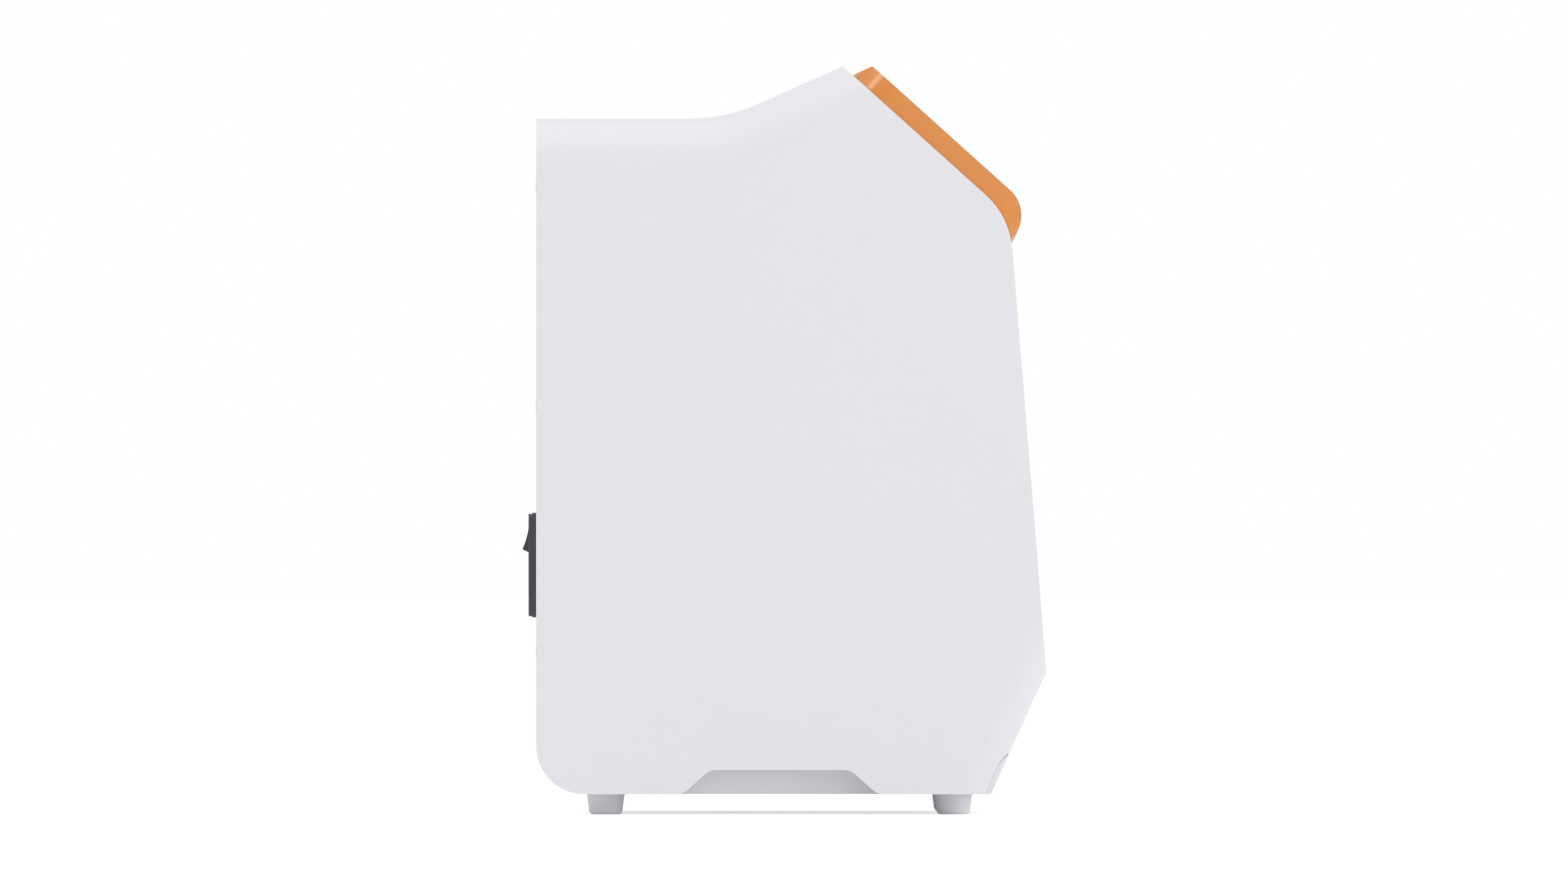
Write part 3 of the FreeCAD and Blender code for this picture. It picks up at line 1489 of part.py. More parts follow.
def mainboard():
    """Control board on the pan's posts, with its processor, motor drivers, plugs and capacitors."""
    low = pan_top + board_standoff
    top = low + board_thick
    parts = [plan_prism(centred(board_width, board_length, 0, board_f), low, top)]
    processor = centred(processor_size, processor_size, -processor_side, board_f)
    parts.append(plan_prism(processor, top, top + processor_height))
    for i in range(4):
        x = driver_side + (i % 2) * driver_pitch
        f = board_f + (i // 2 - 0.5) * driver_pitch
        parts.append(plan_prism(centred(driver_size, driver_size, x, f), top, top + driver_height))
    for i in range(plugs):
        x = (i - (plugs - 1) / 2) * plug_pitch
        f = board_f + (board_length - plug_depth) / 2
        parts.append(plan_prism(centred(plug_width, plug_depth, x, f), top, top + plug_height))
    for side in (-1, 1):
        f = board_f + side * capacitor_pitch / 2
        x = capacitor_inset - board_width / 2
        parts.append(rod_z(capacitor_radius, x, f, top, top + capacitor_height))
    return joined(parts)


# Writing every piece

def write_parts():
    os.makedirs("parts", exist_ok=True)
    save("outer_shell", outer_shell())
    save("rear_panel", rear_panel())
    save("base_pan", base_pan())
    save("front_fascia", front_fascia())
    for name, place in foot_places().items():
        save("foot_" + name, foot(*place))
    for name, side in (("left", -1), ("right", 1)):
        save("grip_cup_" + name, grip_cup(side))
        save("side_frame_" + name, side_frame(side))
        save("hinge_arm_" + name, hinge_arm(side * hinge_spacing / 2))
        save("vat_knob_" + name, vat_knob(side * abs(vat_knob_places()[0])))
    save("visor", visor())
    save("visor_hinge_pins", Part.makeCompound(hinge_pins()))
    save("visor_magnets", Part.makeCompound(visor_magnets()))
    save("magnet_plates", Part.makeCompound(magnet_plates()))
    save("display_glass", display_glass())
    save("display_module", display_module())
    save("display_bracket", display_bracket())
    save("inlet_housing", inlet_housing())
    save("inlet_pins", Part.makeCompound(inlet_pins()))
    save("fuse_drawer", fuse_drawer())
    save("power_rocker", power_rocker())
    frame, rotor = exhaust_fan()
    save("exhaust_fan_frame", frame)
    save("exhaust_fan_rotor", rotor)
    frame, rotor = led_fan()
    save("led_fan_frame", frame)
    save("led_fan_rotor", rotor)
    save("deck_plate", deck_plate())
    save("bulkhead", bulkhead())
    save("vat", vat())
    save("vat_film", vat_film())
    save("film_clamp_frame", film_clamp_frame())
    save("lcd_panel", lcd_panel())
    save("collimator_lens", collimator_lens())
    save("light_tunnel", light_tunnel())
    save("led_board", led_board())
    save("heat_sink", heat_sink())
    save("z_column", z_column())
    save("linear_rails", Part.makeCompound(linear_rails()))
    save("rail_blocks", Part.makeCompound(rail_blocks()))
    save("carriage", carriage())
    save("lead_nut", lead_nut())
    save("platform_arm", platform_arm())
    save("build_platform", build_platform())
    save("platform_knob", platform_knob())
    save("lead_screw", lead_screw())
    save("shaft_coupler", shaft_coupler())
    save("motor_shaft", motor_shaft())
    save("z_motor", z_motor())
    save("motor_bracket", motor_bracket())
    save("screw_bearings", Part.makeCompound(screw_bearings()))
    save("top_bracket", top_bracket())
    save("end_stop", end_stop())
    save("power_supply", power_supply())
    save("mainboard", mainboard())


write_parts()
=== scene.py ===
import math

import bpy
from bpy.props import FloatProperty, FloatVectorProperty, IntProperty, PointerProperty
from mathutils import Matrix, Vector


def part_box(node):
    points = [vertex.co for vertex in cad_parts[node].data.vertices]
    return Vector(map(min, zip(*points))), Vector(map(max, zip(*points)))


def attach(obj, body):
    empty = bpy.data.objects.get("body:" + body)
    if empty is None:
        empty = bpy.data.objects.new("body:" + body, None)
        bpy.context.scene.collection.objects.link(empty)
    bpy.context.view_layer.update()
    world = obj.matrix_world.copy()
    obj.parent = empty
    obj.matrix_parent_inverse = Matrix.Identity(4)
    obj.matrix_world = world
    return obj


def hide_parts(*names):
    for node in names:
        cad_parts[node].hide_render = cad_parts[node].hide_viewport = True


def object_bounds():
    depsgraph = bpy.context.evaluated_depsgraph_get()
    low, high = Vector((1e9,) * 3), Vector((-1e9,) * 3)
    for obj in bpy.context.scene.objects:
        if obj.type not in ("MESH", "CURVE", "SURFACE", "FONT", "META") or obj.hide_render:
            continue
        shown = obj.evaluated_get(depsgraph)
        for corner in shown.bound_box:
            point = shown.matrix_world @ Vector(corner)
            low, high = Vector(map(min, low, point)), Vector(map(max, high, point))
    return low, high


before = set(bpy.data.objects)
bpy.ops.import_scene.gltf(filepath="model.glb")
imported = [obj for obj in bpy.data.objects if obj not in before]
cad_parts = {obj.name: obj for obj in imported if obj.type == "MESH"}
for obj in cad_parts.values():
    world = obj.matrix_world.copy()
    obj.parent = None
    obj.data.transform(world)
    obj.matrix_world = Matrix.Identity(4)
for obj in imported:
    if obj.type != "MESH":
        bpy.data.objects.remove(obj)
cad_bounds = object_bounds()

bl_info = {
    "name": "Resin printer finishes",
    "version": (1, 0, 0),
    "blender": (4, 5, 0),
    "location": "3D View > Sidebar > Printer",
    "description": "Finishes and small fittings of a desktop resin printer, and the stage it stands on",
    "category": "Object",
}

UP = Vector((0, 0, 1))
FORWARD = Vector((0, -1, 0))
BACKWARD = Vector((0, 1, 0))
MM = 0.001
MERGE = 0.001 * MM           # points closer than this are one point
EDGE_DEGREES = 35            # sharper bends count as edges
FLAT_DEGREES = 0.4           # flatter bends are merged into one face
WAVE_SCALE = math.pi / 10    # Wave texture scale for one wave to the metre

# Lighter and darker versions of a colour setting
# The grips' share is painted light: it lightens the trim colour to brighten the grip recesses, which sit in
# shade
GRIP_PAINTED_LIGHT = 1.22
INLET_SHADE = 1.6
ROCKER_SHADE = 1.2
KNOB_SHADE = 0.7
MOTOR_SHADE = 0.6
FAN_SHADE = 0.6
PANEL_SCREW_SHADE = 0.8
BOLT_SHADE = 0.55
VAT_SHADE = 0.92

# Panel screw heights as shares of the rear panel's height, and the number of screws along each side
PANEL_SCREW_SHARES = (0.153, 0.548, 0.900)
RAIL_SCREWS = 6
CLAMP_SCREWS_ACROSS = 7
CLAMP_SCREWS_ALONG = 4


# Sizes and colours that a user would change

def colour(name, description, value):
    """A colour setting."""
    return FloatVectorProperty(name=name, description=description, subtype="COLOR", size=3,
                               min=0.0, max=1.0, default=value)


def length(name, description, millimetres):
    """A length setting, given in millimetres and kept in metres."""
    return FloatProperty(name=name, description=description, unit="LENGTH", min=0.0,
                         precision=5, default=millimetres * MM)


class PrinterColours(bpy.types.PropertyGroup):
    """Colours of the printer's finishes."""

    shell: colour("Shell", "Satin white moulding of the outer covers", (0.80, 0.795, 0.83))
    trim: colour("Trim", "Matt white moulding of the base and the grips", (0.77, 0.765, 0.795))
    sheet: colour("Rear sheet", "Powder coat on the rear panel", (0.76, 0.76, 0.79))
    # The feet's near-white, lighter than the covers' white, is partly painted light: it brightens the feet
    # in the shade under the body
    rubber: colour("Feet", "Firm pale rubber", (0.97, 0.97, 1.0))
    amber: colour("Visor", "Amber acrylic that stops violet light", (1.0, 0.38, 0.064))
    dark: colour("Dark moulding", "Power inlet, fans and knobs", (0.043, 0.042, 0.056))
    board: colour("Circuit board", "Green solder mask", (0.015, 0.085, 0.035))
    emitter: colour("Emitters", "Phosphor of the light board's emitters", (0.80, 0.66, 0.22))
    brass: colour("Brass", "Nut, bearings and contacts", (0.72, 0.48, 0.18))
    steel: colour("Steel", "Ground steel", (0.56, 0.565, 0.58))
    zinc: colour("Zinc sheet", "Plated folded sheet", (0.50, 0.51, 0.53))
    chamber: colour("Chamber", "Dark powder coat round the build space", (0.020, 0.020, 0.023))
    aluminium: colour("Aluminium", "Anodised plate", (0.63, 0.64, 0.66))
    glass: colour("Display glass", "Black cover glass", (0.006, 0.006, 0.008))
    picture: colour("Display picture area", "Panel behind the cover glass", (0.018, 0.020, 0.026))
    film: colour("Release film", "Clear stretched film", (0.88, 0.90, 0.92))


class PrinterSizes(bpy.types.PropertyGroup):
    """Sizes of the small fittings."""

    easing: length("Edge easing", "Rounding of the moulded covers' edges", 0.5)
    fine_easing: length("Fine easing", "Rounding of the small mouldings' edges", 0.25)
    panel_screw: length("Panel screw", "Width of the rear panel's screw heads", 6.0)
    panel_screw_height: length("Panel screw height", "Height of the rear panel's screw heads", 0.5)
    panel_screw_inset: length("Panel screw inset", "Distance of the screws from the panel's sides", 5.0)
    bolt: length("Bolt", "Width of the Z axis bolts' heads", 5.5)
    bolt_height: length("Bolt height", "Height of the Z axis bolts' heads", 3.0)
    arm_flange: length("Arm flange", "Thickness of the arm's flange", 5.0)
    arm_bolt_inset: length("Arm bolt inset", "Distance of the bolts from the arm's sides", 4.2)
    arm_bolt_rise: length("Arm bolt rise", "Distance of the bolts from the arm's top and bottom", 3.2)
    rail_width: length("Rail width", "Width of a linear rail", 9.0)
    rail_screw: length("Rail screw", "Width of the rail screws' heads", 3.4)
    rail_screw_height: length("Rail screw height", "Height of the rail screws' heads", 0.4)
    clamp_strip: length("Clamp strip", "Width of the film clamp's strip", 4.0)
    clamp_screw: length("Clamp screw", "Width of the film clamp's screw heads", 3.0)
    clamp_screw_height: length("Clamp screw height", "Height of the film clamp's screw heads", 0.5)
    display_border: length("Display border", "Black border round the picture area", 9.0)
    thread_pitch: length("Thread pitch", "Distance between the lead screw's crests", 2.0)
    thread_depth: length("Thread depth", "Depth of the lead screw's thread", 1.0)
    thread_starts: IntProperty(name="Thread starts", description="Separate threads on the lead screw",
                               min=1, default=4)
    foot_rim: length("Foot rim", "Width of the rim line round a foot's top", 0.3)
    foot_round: length("Foot rounding", "Rounding of a foot's lower rim", 1.6)
    foot_recess: length("Foot recess", "Depth of the recess in a foot's sole", 1.6)
    board: length("Board", "Thickness of the bare circuit boards", 1.7)
    knob_flute: length("Knob flute", "Depth of the flutes round a knob", 0.5)
    knob_grip: length("Knob grip", "Height of a knob's fluted sleeve", 9.0)
    knob_rim: length("Knob rim", "Width of the rim round a knob's cap", 1.6)
    knob_groove: length("Knob groove", "Width of the groove inside a knob's rim", 1.2)
    knob_sink: length("Knob sink", "Depth of the groove in a knob's cap", 0.3)
    knob_crown: length("Knob crown", "Height of a knob's middle above the groove", 0.25)


class PrinterStage(bpy.types.PropertyGroup):
    """The camera, the floor and the light."""

    lens: FloatProperty(name="Lens", description="Focal length", unit="CAMERA", default=900.0)
    view_width: length("View width", "Width of the view at the printer's near side", 861.2)
    view_height: length("View height", "Height of the view's middle above the floor", 205.5)
    view_offset: length("View offset", "How far behind the printer's middle the camera stands", 80.0)
    sky: FloatProperty(name="Sky", description="Level of the even light all round", default=0.58)
    top_lamp: FloatProperty(name="Top lamp", description="Power of the soft lamp overhead",
                            unit="POWER", default=10.5)
    side_lamp: FloatProperty(name="Side lamp", description="Power of the soft lamp beside the camera",
                             unit="POWER", default=8.0)
    front_lamp: FloatProperty(name="Front lamp", description="Power of the low soft lamp before the chin",
                              unit="POWER", default=22.0)
    crest_lamp: FloatProperty(name="Crest lamp", unit="POWER", default=5.0,
                              description="Power of the small lamp behind the visor's top end")
    fill_lamp: FloatProperty(name="Fill lamp", description="Power of the soft lamp behind on the far side",
                             unit="POWER", default=16.0)


# Shader sums and nodes

class Value:
    """A shader socket that takes part in Python sums."""

    def __init__(self, finish, socket):
        self.finish = finish
        self.socket = socket

    def math(self, operation, first, second=0.0):
        return self.finish.node("ShaderNodeMath", {"operation": operation}, {0: first, 1: second})

    def __add__(self, other):
        return self.math("ADD", self, other)

    __radd__ = __add__

    def __sub__(self, other):
        return self.math("SUBTRACT", self, other)

    def __rsub__(self, other):
        return self.math("SUBTRACT", other, self)

    def __mul__(self, other):
        return self.math("MULTIPLY", self, other)

    __rmul__ = __mul__

    def __lt__(self, other):
        return self.math("LESS_THAN", self, other)

    def __gt__(self, other):
        return self.math("GREATER_THAN", self, other)

    def __abs__(self):
        return self.math("ABSOLUTE", self)


class NodeTree:
    """A node tree whose nodes are added in one way."""

    def __init__(self, tree):
        self.tree = tree

    def node(self, kind, settings=None, sockets=None, output=0):
        """Add a node, set its settings, then fill or link its sockets; gives one of its outputs."""
        made = self.tree.nodes.new(kind)
        for key, setting in (settings or {}).items():
            setattr(made, key, setting)
        self.fill(made, sockets or {})
        return Value(self, made.outputs[output])

    def fill(self, made, sockets):
        """Give a node's sockets their values or links."""
        for key, given in sockets.items():
            if isinstance(given, Value):
                self.tree.links.new(given.socket, made.inputs[key])
            else:
                made.inputs[key].default_value = given


class Finish(NodeTree):
    """A material made of nodes on Object coordinates."""

    def __init__(self, name):
        self.material = bpy.data.materials.new(name)
        self.material.use_nodes = True
        super().__init__(self.material.node_tree)
        self.shader = self.tree.nodes["Principled BSDF"]
        self.place = self.node("ShaderNodeTexCoord", output="Object")

    def feed(self, **sockets):
        """Fill the shader's sockets; underscores in a name stand for spaces."""
        self.fill(self.shader, {key.replace("_", " "): given for key, given in sockets.items()})

    def stretched(self, stretch):
        return self.node("ShaderNodeMapping", None, {"Vector": self.place, "Scale": stretch})

    def noise(self, scale, detail=2.0, stretch=(1, 1, 1)):
        """Cloudy noise, scale waves to the metre, drawn out where stretch is under 1."""
        return self.node("ShaderNodeTexNoise", None,
                         {"Vector": self.stretched(stretch), "Scale": scale, "Detail": detail})

    def cells(self, scale, feature="F1"):
        """Cell pattern, scale cells to the metre."""
        output = "Distance" if feature == "DISTANCE_TO_EDGE" else "Color"
        return self.node("ShaderNodeTexVoronoi", {"feature": feature},
                         {"Vector": self.place, "Scale": scale}, output)

    def lines(self, scale, axis):
        """Even lines across an axis, scale waves to the metre."""
        return self.node("ShaderNodeTexWave", {"bands_direction": axis},
                         {"Vector": self.place, "Scale": scale * WAVE_SCALE}, "Fac")

    def axis(self, index):
        return self.node("ShaderNodeSeparateXYZ", None, {0: self.place}, index)

    def between(self, factor, low, high):
        """Colour between two colours."""
        first, second = (end if isinstance(end, Value) else (*end, 1.0) for end in (low, high))
        return self.node("ShaderNodeMix", {"data_type": "RGBA"}, {0: factor, 6: first, 7: second}, 2)

    def bump(self, height, strength, distance):
        return self.node("ShaderNodeBump", None,
                         {"Height": height, "Strength": strength, "Distance": distance * MM})


def span(value, low, high):
    """A 0 to 1 value moved to a range."""
    return value * (high - low) + low


def mixed(first, second, share):
    """Two values mixed, share of the first."""
    return first * share + second * (1 - share)


def scaled(tint, share):
    """A colour made darker or lighter."""
    return tuple(min(1.0, channel * share) for channel in tint)


# Finishes

def moulded_plastic(name, tint, roughness, grain, drift=0.985):
    """Moulded plastic: a fine spark-eroded grain, a slow drift in tone and patchy gloss."""
    finish = Finish(name)
    swing = 0.07
    slow = finish.noise(scale=7, detail=3)
    fine = finish.noise(scale=1500, detail=3)
    patches = finish.noise(scale=45)
    gloss = mixed(patches, fine, share=0.6)
    tone = mixed(fine, slow, grain)
    finish.feed(Base_Color=finish.between(tone, scaled(tint, drift), tint),
                Roughness=span(gloss, roughness - swing, roughness + swing),
                Normal=finish.bump(fine, strength=grain, distance=0.1))
    return finish.material


def powder_coat(name, tint, roughness):
    """Powder coat on sheet: an orange peel surface with a faint speckle."""
    finish = Finish(name)
    swing = 0.1
    peel = finish.noise(scale=420)
    speckle = finish.noise(scale=2600, detail=1)
    finish.feed(Base_Color=finish.between(speckle, scaled(tint, share=0.9), scaled(tint, share=1.08)),
                Roughness=span(peel, roughness - swing, roughness + swing),
                Normal=finish.bump(peel, strength=0.18, distance=0.2))
    return finish.material


def amber_acrylic(name, tint):
    """Cast amber acrylic, faintly clouded, with fine handling marks in its polish."""
    finish = Finish(name)
    cloud = finish.noise(scale=16, detail=3)
    haze = finish.noise(scale=900)
    marks = finish.noise(scale=240, stretch=(1, 0.12, 0.12))
    polish = mixed(haze, marks, share=0.5)
    grain = finish.noise(scale=2200)
    tone = mixed(cloud, grain, share=0.4)
    finish.feed(Base_Color=finish.between(tone, scaled(tint, share=0.86), tint),
                Roughness=span(polish, low=0.12, high=0.3),
                Normal=finish.bump(haze, strength=0.05, distance=0.1))
    finish.feed(Transmission_Weight=0.28, IOR=1.49)
    return finish.material


def black_glass(name, node, border, glass, picture):
    """Cover glass with the dark picture area showing inside its border."""
    finish = Finish(name)
    low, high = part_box(node)
    middle = (low + high) / 2
    half = (high - low) / 2
    across = abs(finish.axis(0) - middle.x) < half.x - border
    along = abs(finish.axis(2) - middle.z) < half.z - border
    smear = finish.noise(scale=60, detail=3, stretch=(1, 0.4, 0.4))
    finish.feed(Base_Color=finish.between(across * along, glass, picture),
                Roughness=span(smear, low=0.04, high=0.14))
    finish.feed(IOR=1.45)
    return finish.material


def mask_panel(name, tint):
    """Exposure mask: dark glass over a fine square grid of picture points."""
    finish = Finish(name)
    points = 500
    grid = mixed(finish.lines(points, "X"), finish.lines(points, "Y"), share=0.5)
    smear = finish.noise(scale=40, detail=3)
    finish.feed(Base_Color=finish.between(grid, scaled(tint, share=0.6), scaled(tint, share=2.4)),
                Roughness=span(smear, low=0.06, high=0.18))
    finish.feed(Coat_Weight=0.4, IOR=1.52)
    return finish.material


def clear_plastic(name, tint, share, scale):
    """Clear moulding or film with a faint ripple."""
    finish = Finish(name)
    ripple = finish.noise(scale)
    finish.feed(Base_Color=finish.between(ripple, scaled(tint, share=0.96), tint),
                Roughness=span(ripple, low=0.03, high=0.12),
                Normal=finish.bump(ripple, strength=0.08, distance=0.2))
    finish.feed(Transmission_Weight=share, IOR=1.45)
    return finish.material


def circuit_board(name, node, tint, thickness, mounted):
    """Solder mask with raised tracks, lighter over the copper, and the mounted parts' colour above it."""
    finish = Finish(name)
    above = finish.axis(2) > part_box(node)[0].z + thickness
    track_width = 0.09
    edge = finish.cells(scale=150, feature="DISTANCE_TO_EDGE")
    track = edge < track_width
    fine = finish.noise(scale=900)
    mask = finish.between(track, tint, scaled(tint, share=2.2))
    finish.feed(Base_Color=finish.between(above, mask, mounted),
                Roughness=span(fine, low=0.3, high=0.45),
                Normal=finish.bump(track, strength=0.25, distance=0.05))
    return finish.material


def brushed_metal(name, tint, roughness, stretch):
    """Metal with streaks along the directions where stretch is small, and small stains."""
    finish = Finish(name)
    swing = 0.09
    streaks = finish.noise(scale=1800, detail=3, stretch=stretch)
    stain = finish.noise(scale=35, detail=3)
    tone = mixed(streaks, stain, share=0.7)
    finish.feed(Base_Color=finish.between(tone, scaled(tint, share=0.86), scaled(tint, share=1.08)),
                Roughness=span(tone, roughness - swing, roughness + swing),
                Normal=finish.bump(streaks, strength=0.08, distance=0.05))
    finish.feed(Metallic=1.0)
    return finish.material


def zinc_sheet(name, tint):
    """Plated sheet with a faint spangle."""
    finish = Finish(name)
    spangle = finish.cells(scale=130)
    fine = finish.noise(scale=700)
    tone = mixed(spangle, fine, share=0.5)
    finish.feed(Base_Color=finish.between(tone, scaled(tint, share=0.85), scaled(tint, share=1.1)),
                Roughness=span(tone, low=0.3, high=0.5))
    finish.feed(Metallic=0.9)
    return finish.material


def etched_plate(name, tint):
    """Platform plate: a laser etched cross pattern that holds the first layers."""
    finish = Finish(name)
    strokes = 620
    hatch = finish.lines(strokes, "X") * finish.lines(strokes, "Y")
    fine = finish.noise(scale=1500)
    finish.feed(Base_Color=finish.between(hatch, scaled(tint, share=0.8), tint),
                Roughness=span(fine, low=0.3, high=0.48),
                Normal=finish.bump(hatch, strength=0.3, distance=0.08))
    finish.feed(Metallic=1.0)
    return finish.material


# Modelling by operators

def deselect():
    bpy.ops.object.select_all(action="DESELECT")


def make_active(piece):
    deselect()
    piece.select_set(True)
    bpy.context.view_layer.objects.active = piece


def select_faces(piece, test):
    """Leave the piece in edit mode with the faces selected that pass the test."""
    bpy.ops.object.mode_set(mode="OBJECT")
    mesh = piece.data
    for kind in (mesh.vertices, mesh.edges, mesh.polygons):
        kind.foreach_set("select", [False] * len(kind))
    for face in mesh.polygons:
        face.select = test(face)
    bpy.context.tool_settings.mesh_select_mode = (False, False, True)
    bpy.ops.object.mode_set(mode="EDIT")


def apply(piece, kind, **settings):
    """Add a modifier and apply it."""
    modifier = piece.modifiers.new(kind, kind)
    for key, setting in settings.items():
        setattr(modifier, key, setting)
    bpy.ops.object.modifier_apply(modifier=modifier.name)


def tidy_mesh(piece):
    """Merge doubles and turn the faces outwards."""
    bpy.ops.object.mode_set(mode="EDIT")
    bpy.ops.mesh.select_all(action="SELECT")
    bpy.ops.mesh.remove_doubles(threshold=MERGE)
    bpy.ops.mesh.normals_make_consistent(inside=False)
    bpy.ops.object.mode_set(mode="OBJECT")


def smooth(piece, degrees=EDGE_DEGREES):
    make_active(piece)
    bpy.ops.object.shade_smooth_by_angle(angle=math.radians(degrees))


def fit(piece, name, body, material, stands_for=None):
    """Name a finished piece, give it its finish and let it move with its body."""
    if not piece.data.polygons:
        raise RuntimeError(f"{name} has no faces")
    piece.name = name
    piece.data.name = name
    piece.data.materials.clear()
    piece.data.materials.append(material)
    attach(piece, body)
    if stands_for:
        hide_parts(stands_for)
    return piece


def finish_nodes(material, *names):
    """Give CAD nodes a finish."""
    for name in names:
        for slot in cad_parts[name].material_slots:
            slot.material = material


def eased_copy(node, width, material, body="housing"):
    """Stand in for a node with the same shape, its flat faces whole and its edges eased."""
    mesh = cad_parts[node].data.copy()
    piece = bpy.data.objects.new(node, mesh)
    bpy.context.collection.objects.link(piece)
    make_active(piece)
    bpy.ops.object.mode_set(mode="EDIT")
    bpy.ops.mesh.select_all(action="SELECT")
    bpy.ops.mesh.remove_doubles(threshold=MERGE)
    bpy.ops.mesh.dissolve_limited(angle_limit=math.radians(FLAT_DEGREES))
    bpy.ops.object.mode_set(mode="OBJECT")
    apply(piece, "BEVEL", width=width, segments=3, limit_method="ANGLE",
          angle_limit=math.radians(EDGE_DEGREES), use_clamp_overlap=True)
    smooth(piece)
    apply(piece, "WEIGHTED_NORMAL", keep_sharp=True)
    return fit(piece, node + "_finished", body, material, node)


def draw_outline(points, place):
    """New mesh in edit mode, one vertex drawn out along points in the XZ plane at a place."""
    deselect()
    bpy.ops.mesh.primitive_plane_add(size=MM, location=place)
    piece = bpy.context.object
    bpy.context.tool_settings.mesh_select_mode = (True, False, False)
    bpy.ops.object.mode_set(mode="EDIT")
    bpy.ops.mesh.select_all(action="SELECT")
    bpy.ops.mesh.merge(type="CENTER")
    bpy.ops.transform.translate(value=(points[0][0], 0, points[0][1]))
    for here, there in zip(points, points[1:]):
        step = (there[0] - here[0], 0, there[1] - here[1])
        bpy.ops.mesh.extrude_region_move(TRANSFORM_OT_translate={"value": step})
    return piece


def spun(points, place, steps=48):
    """Turned piece about an upright axis through a place, its outline given as radius and height."""
    piece = draw_outline(points, place)
    bpy.ops.mesh.select_all(action="SELECT")
    bpy.ops.mesh.spin(steps=steps, angle=2 * math.pi, center=place, axis=UP)
    tidy_mesh(piece)
    make_active(piece)
    bpy.ops.object.transform_apply(location=True, rotation=True, scale=True)
    smooth(piece, degrees=40)
    return piece


def facing_up(face):
    """Whether a face is nearly level and faces up."""
    return face.normal.z > 0.9


def socket_head(width, height):
    """One screw head at the origin, facing up, with an eased rim and a six-sided socket."""
    socket_share = 0.29
    rim_share = 0.25
    deselect()
    bpy.ops.mesh.primitive_cylinder_add(vertices=32, radius=width / 2, depth=height,
                                        location=UP * height / 2)
    head = bpy.context.object
    select_faces(head, facing_up)
    bpy.ops.mesh.bevel(offset=height * rim_share, segments=3, affect="EDGES")
    bpy.ops.object.mode_set(mode="OBJECT")
    deselect()
    bpy.ops.mesh.primitive_cylinder_add(vertices=6, radius=width * socket_share, depth=height,
                                        location=UP * height)
    cutter = bpy.context.object
    make_active(head)
    apply(head, "BOOLEAN", operation="DIFFERENCE", object=cutter, solver="EXACT")
    bpy.data.objects.remove(cutter)
    smooth(head)
    return head


def spread(pattern, places, facing=UP):
    """Copies of a pattern piece at the places, turned from up to the facing, joined into one piece."""
    turn = UP.rotation_difference(Vector(facing))
    copies = []
    for place in places:
        made = bpy.data.objects.new(pattern.name, pattern.data.copy())
        bpy.context.collection.objects.link(made)
        made.rotation_mode = "QUATERNION"
        made.rotation_quaternion = turn
        made.location = place
        copies.append(made)
    bpy.data.objects.remove(pattern)
    make_active(copies[0])
    for made in copies:
        made.select_set(True)
    bpy.ops.object.join()
    bpy.ops.object.transform_apply(location=True, rotation=True, scale=True)
    return bpy.context.object


def row(low, high, count):
    """Evenly spaced numbers, half a step in from both ends."""
    step = (high - low) / count
    return [low + step * (index + 0.5) for index in range(count)]


def radius_at(node, height):
    """Largest distance of a round upright node's points from its axis, near a height."""
    low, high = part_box(node)
    axis = (low + high) / 2
    reach = 0.05 * MM
    near = [point.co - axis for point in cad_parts[node].data.vertices
            if abs(point.co.z - height) < reach]
    if not near:
        raise RuntimeError(f"{node} has no points near {height}")
    return max(math.hypot(offset.x, offset.y) for offset in near)


def fluted_sleeve(node, sizes, body, material):
    """Grip sleeve round a knob: flutes pressed into its side, and a cap with a rim and a groove."""
    flutes = 24
    facets = 3 * flutes
    press_share = 0.8
    low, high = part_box(node)
    axis = (low + high) / 2
    radius = (high.x - low.x) / 2 + sizes.knob_flute
    grip = min(high.z - low.z, sizes.knob_grip)
    deselect()
    middle = (axis.x, axis.y, high.z - grip / 2 + sizes.knob_sink)
    bpy.ops.mesh.primitive_cylinder_add(vertices=facets, radius=radius, depth=grip, location=middle)
    sleeve = bpy.context.object

    def in_flute(face):
        pitch = 360 / flutes
        turn = math.degrees(math.atan2(face.center.y, face.center.x)) % pitch
        return abs(face.normal.z) < 0.1 and turn < pitch / 2

    def on_cap(face):
        return facing_up(face) and len(face.vertices) > facets / 6

    press = -sizes.knob_flute * press_share
    select_faces(sleeve, in_flute)
    bpy.ops.mesh.extrude_region_shrink_fatten(TRANSFORM_OT_shrink_fatten={"value": press})
    select_faces(sleeve, on_cap)
    for width, rise in ((sizes.knob_rim, -sizes.knob_sink), (sizes.knob_groove, sizes.knob_crown)):
        bpy.ops.mesh.inset(thickness=width)
        bpy.ops.mesh.extrude_region_move(TRANSFORM_OT_translate={"value": (0, 0, rise)})
    bpy.ops.object.mode_set(mode="OBJECT")
    make_active(sleeve)
    bpy.ops.object.transform_apply(location=True, rotation=True, scale=True)
    smooth(sleeve, degrees=40)
    return fit(sleeve, node + "_grip", body, material)


# Operators, one for each piece or group of like pieces

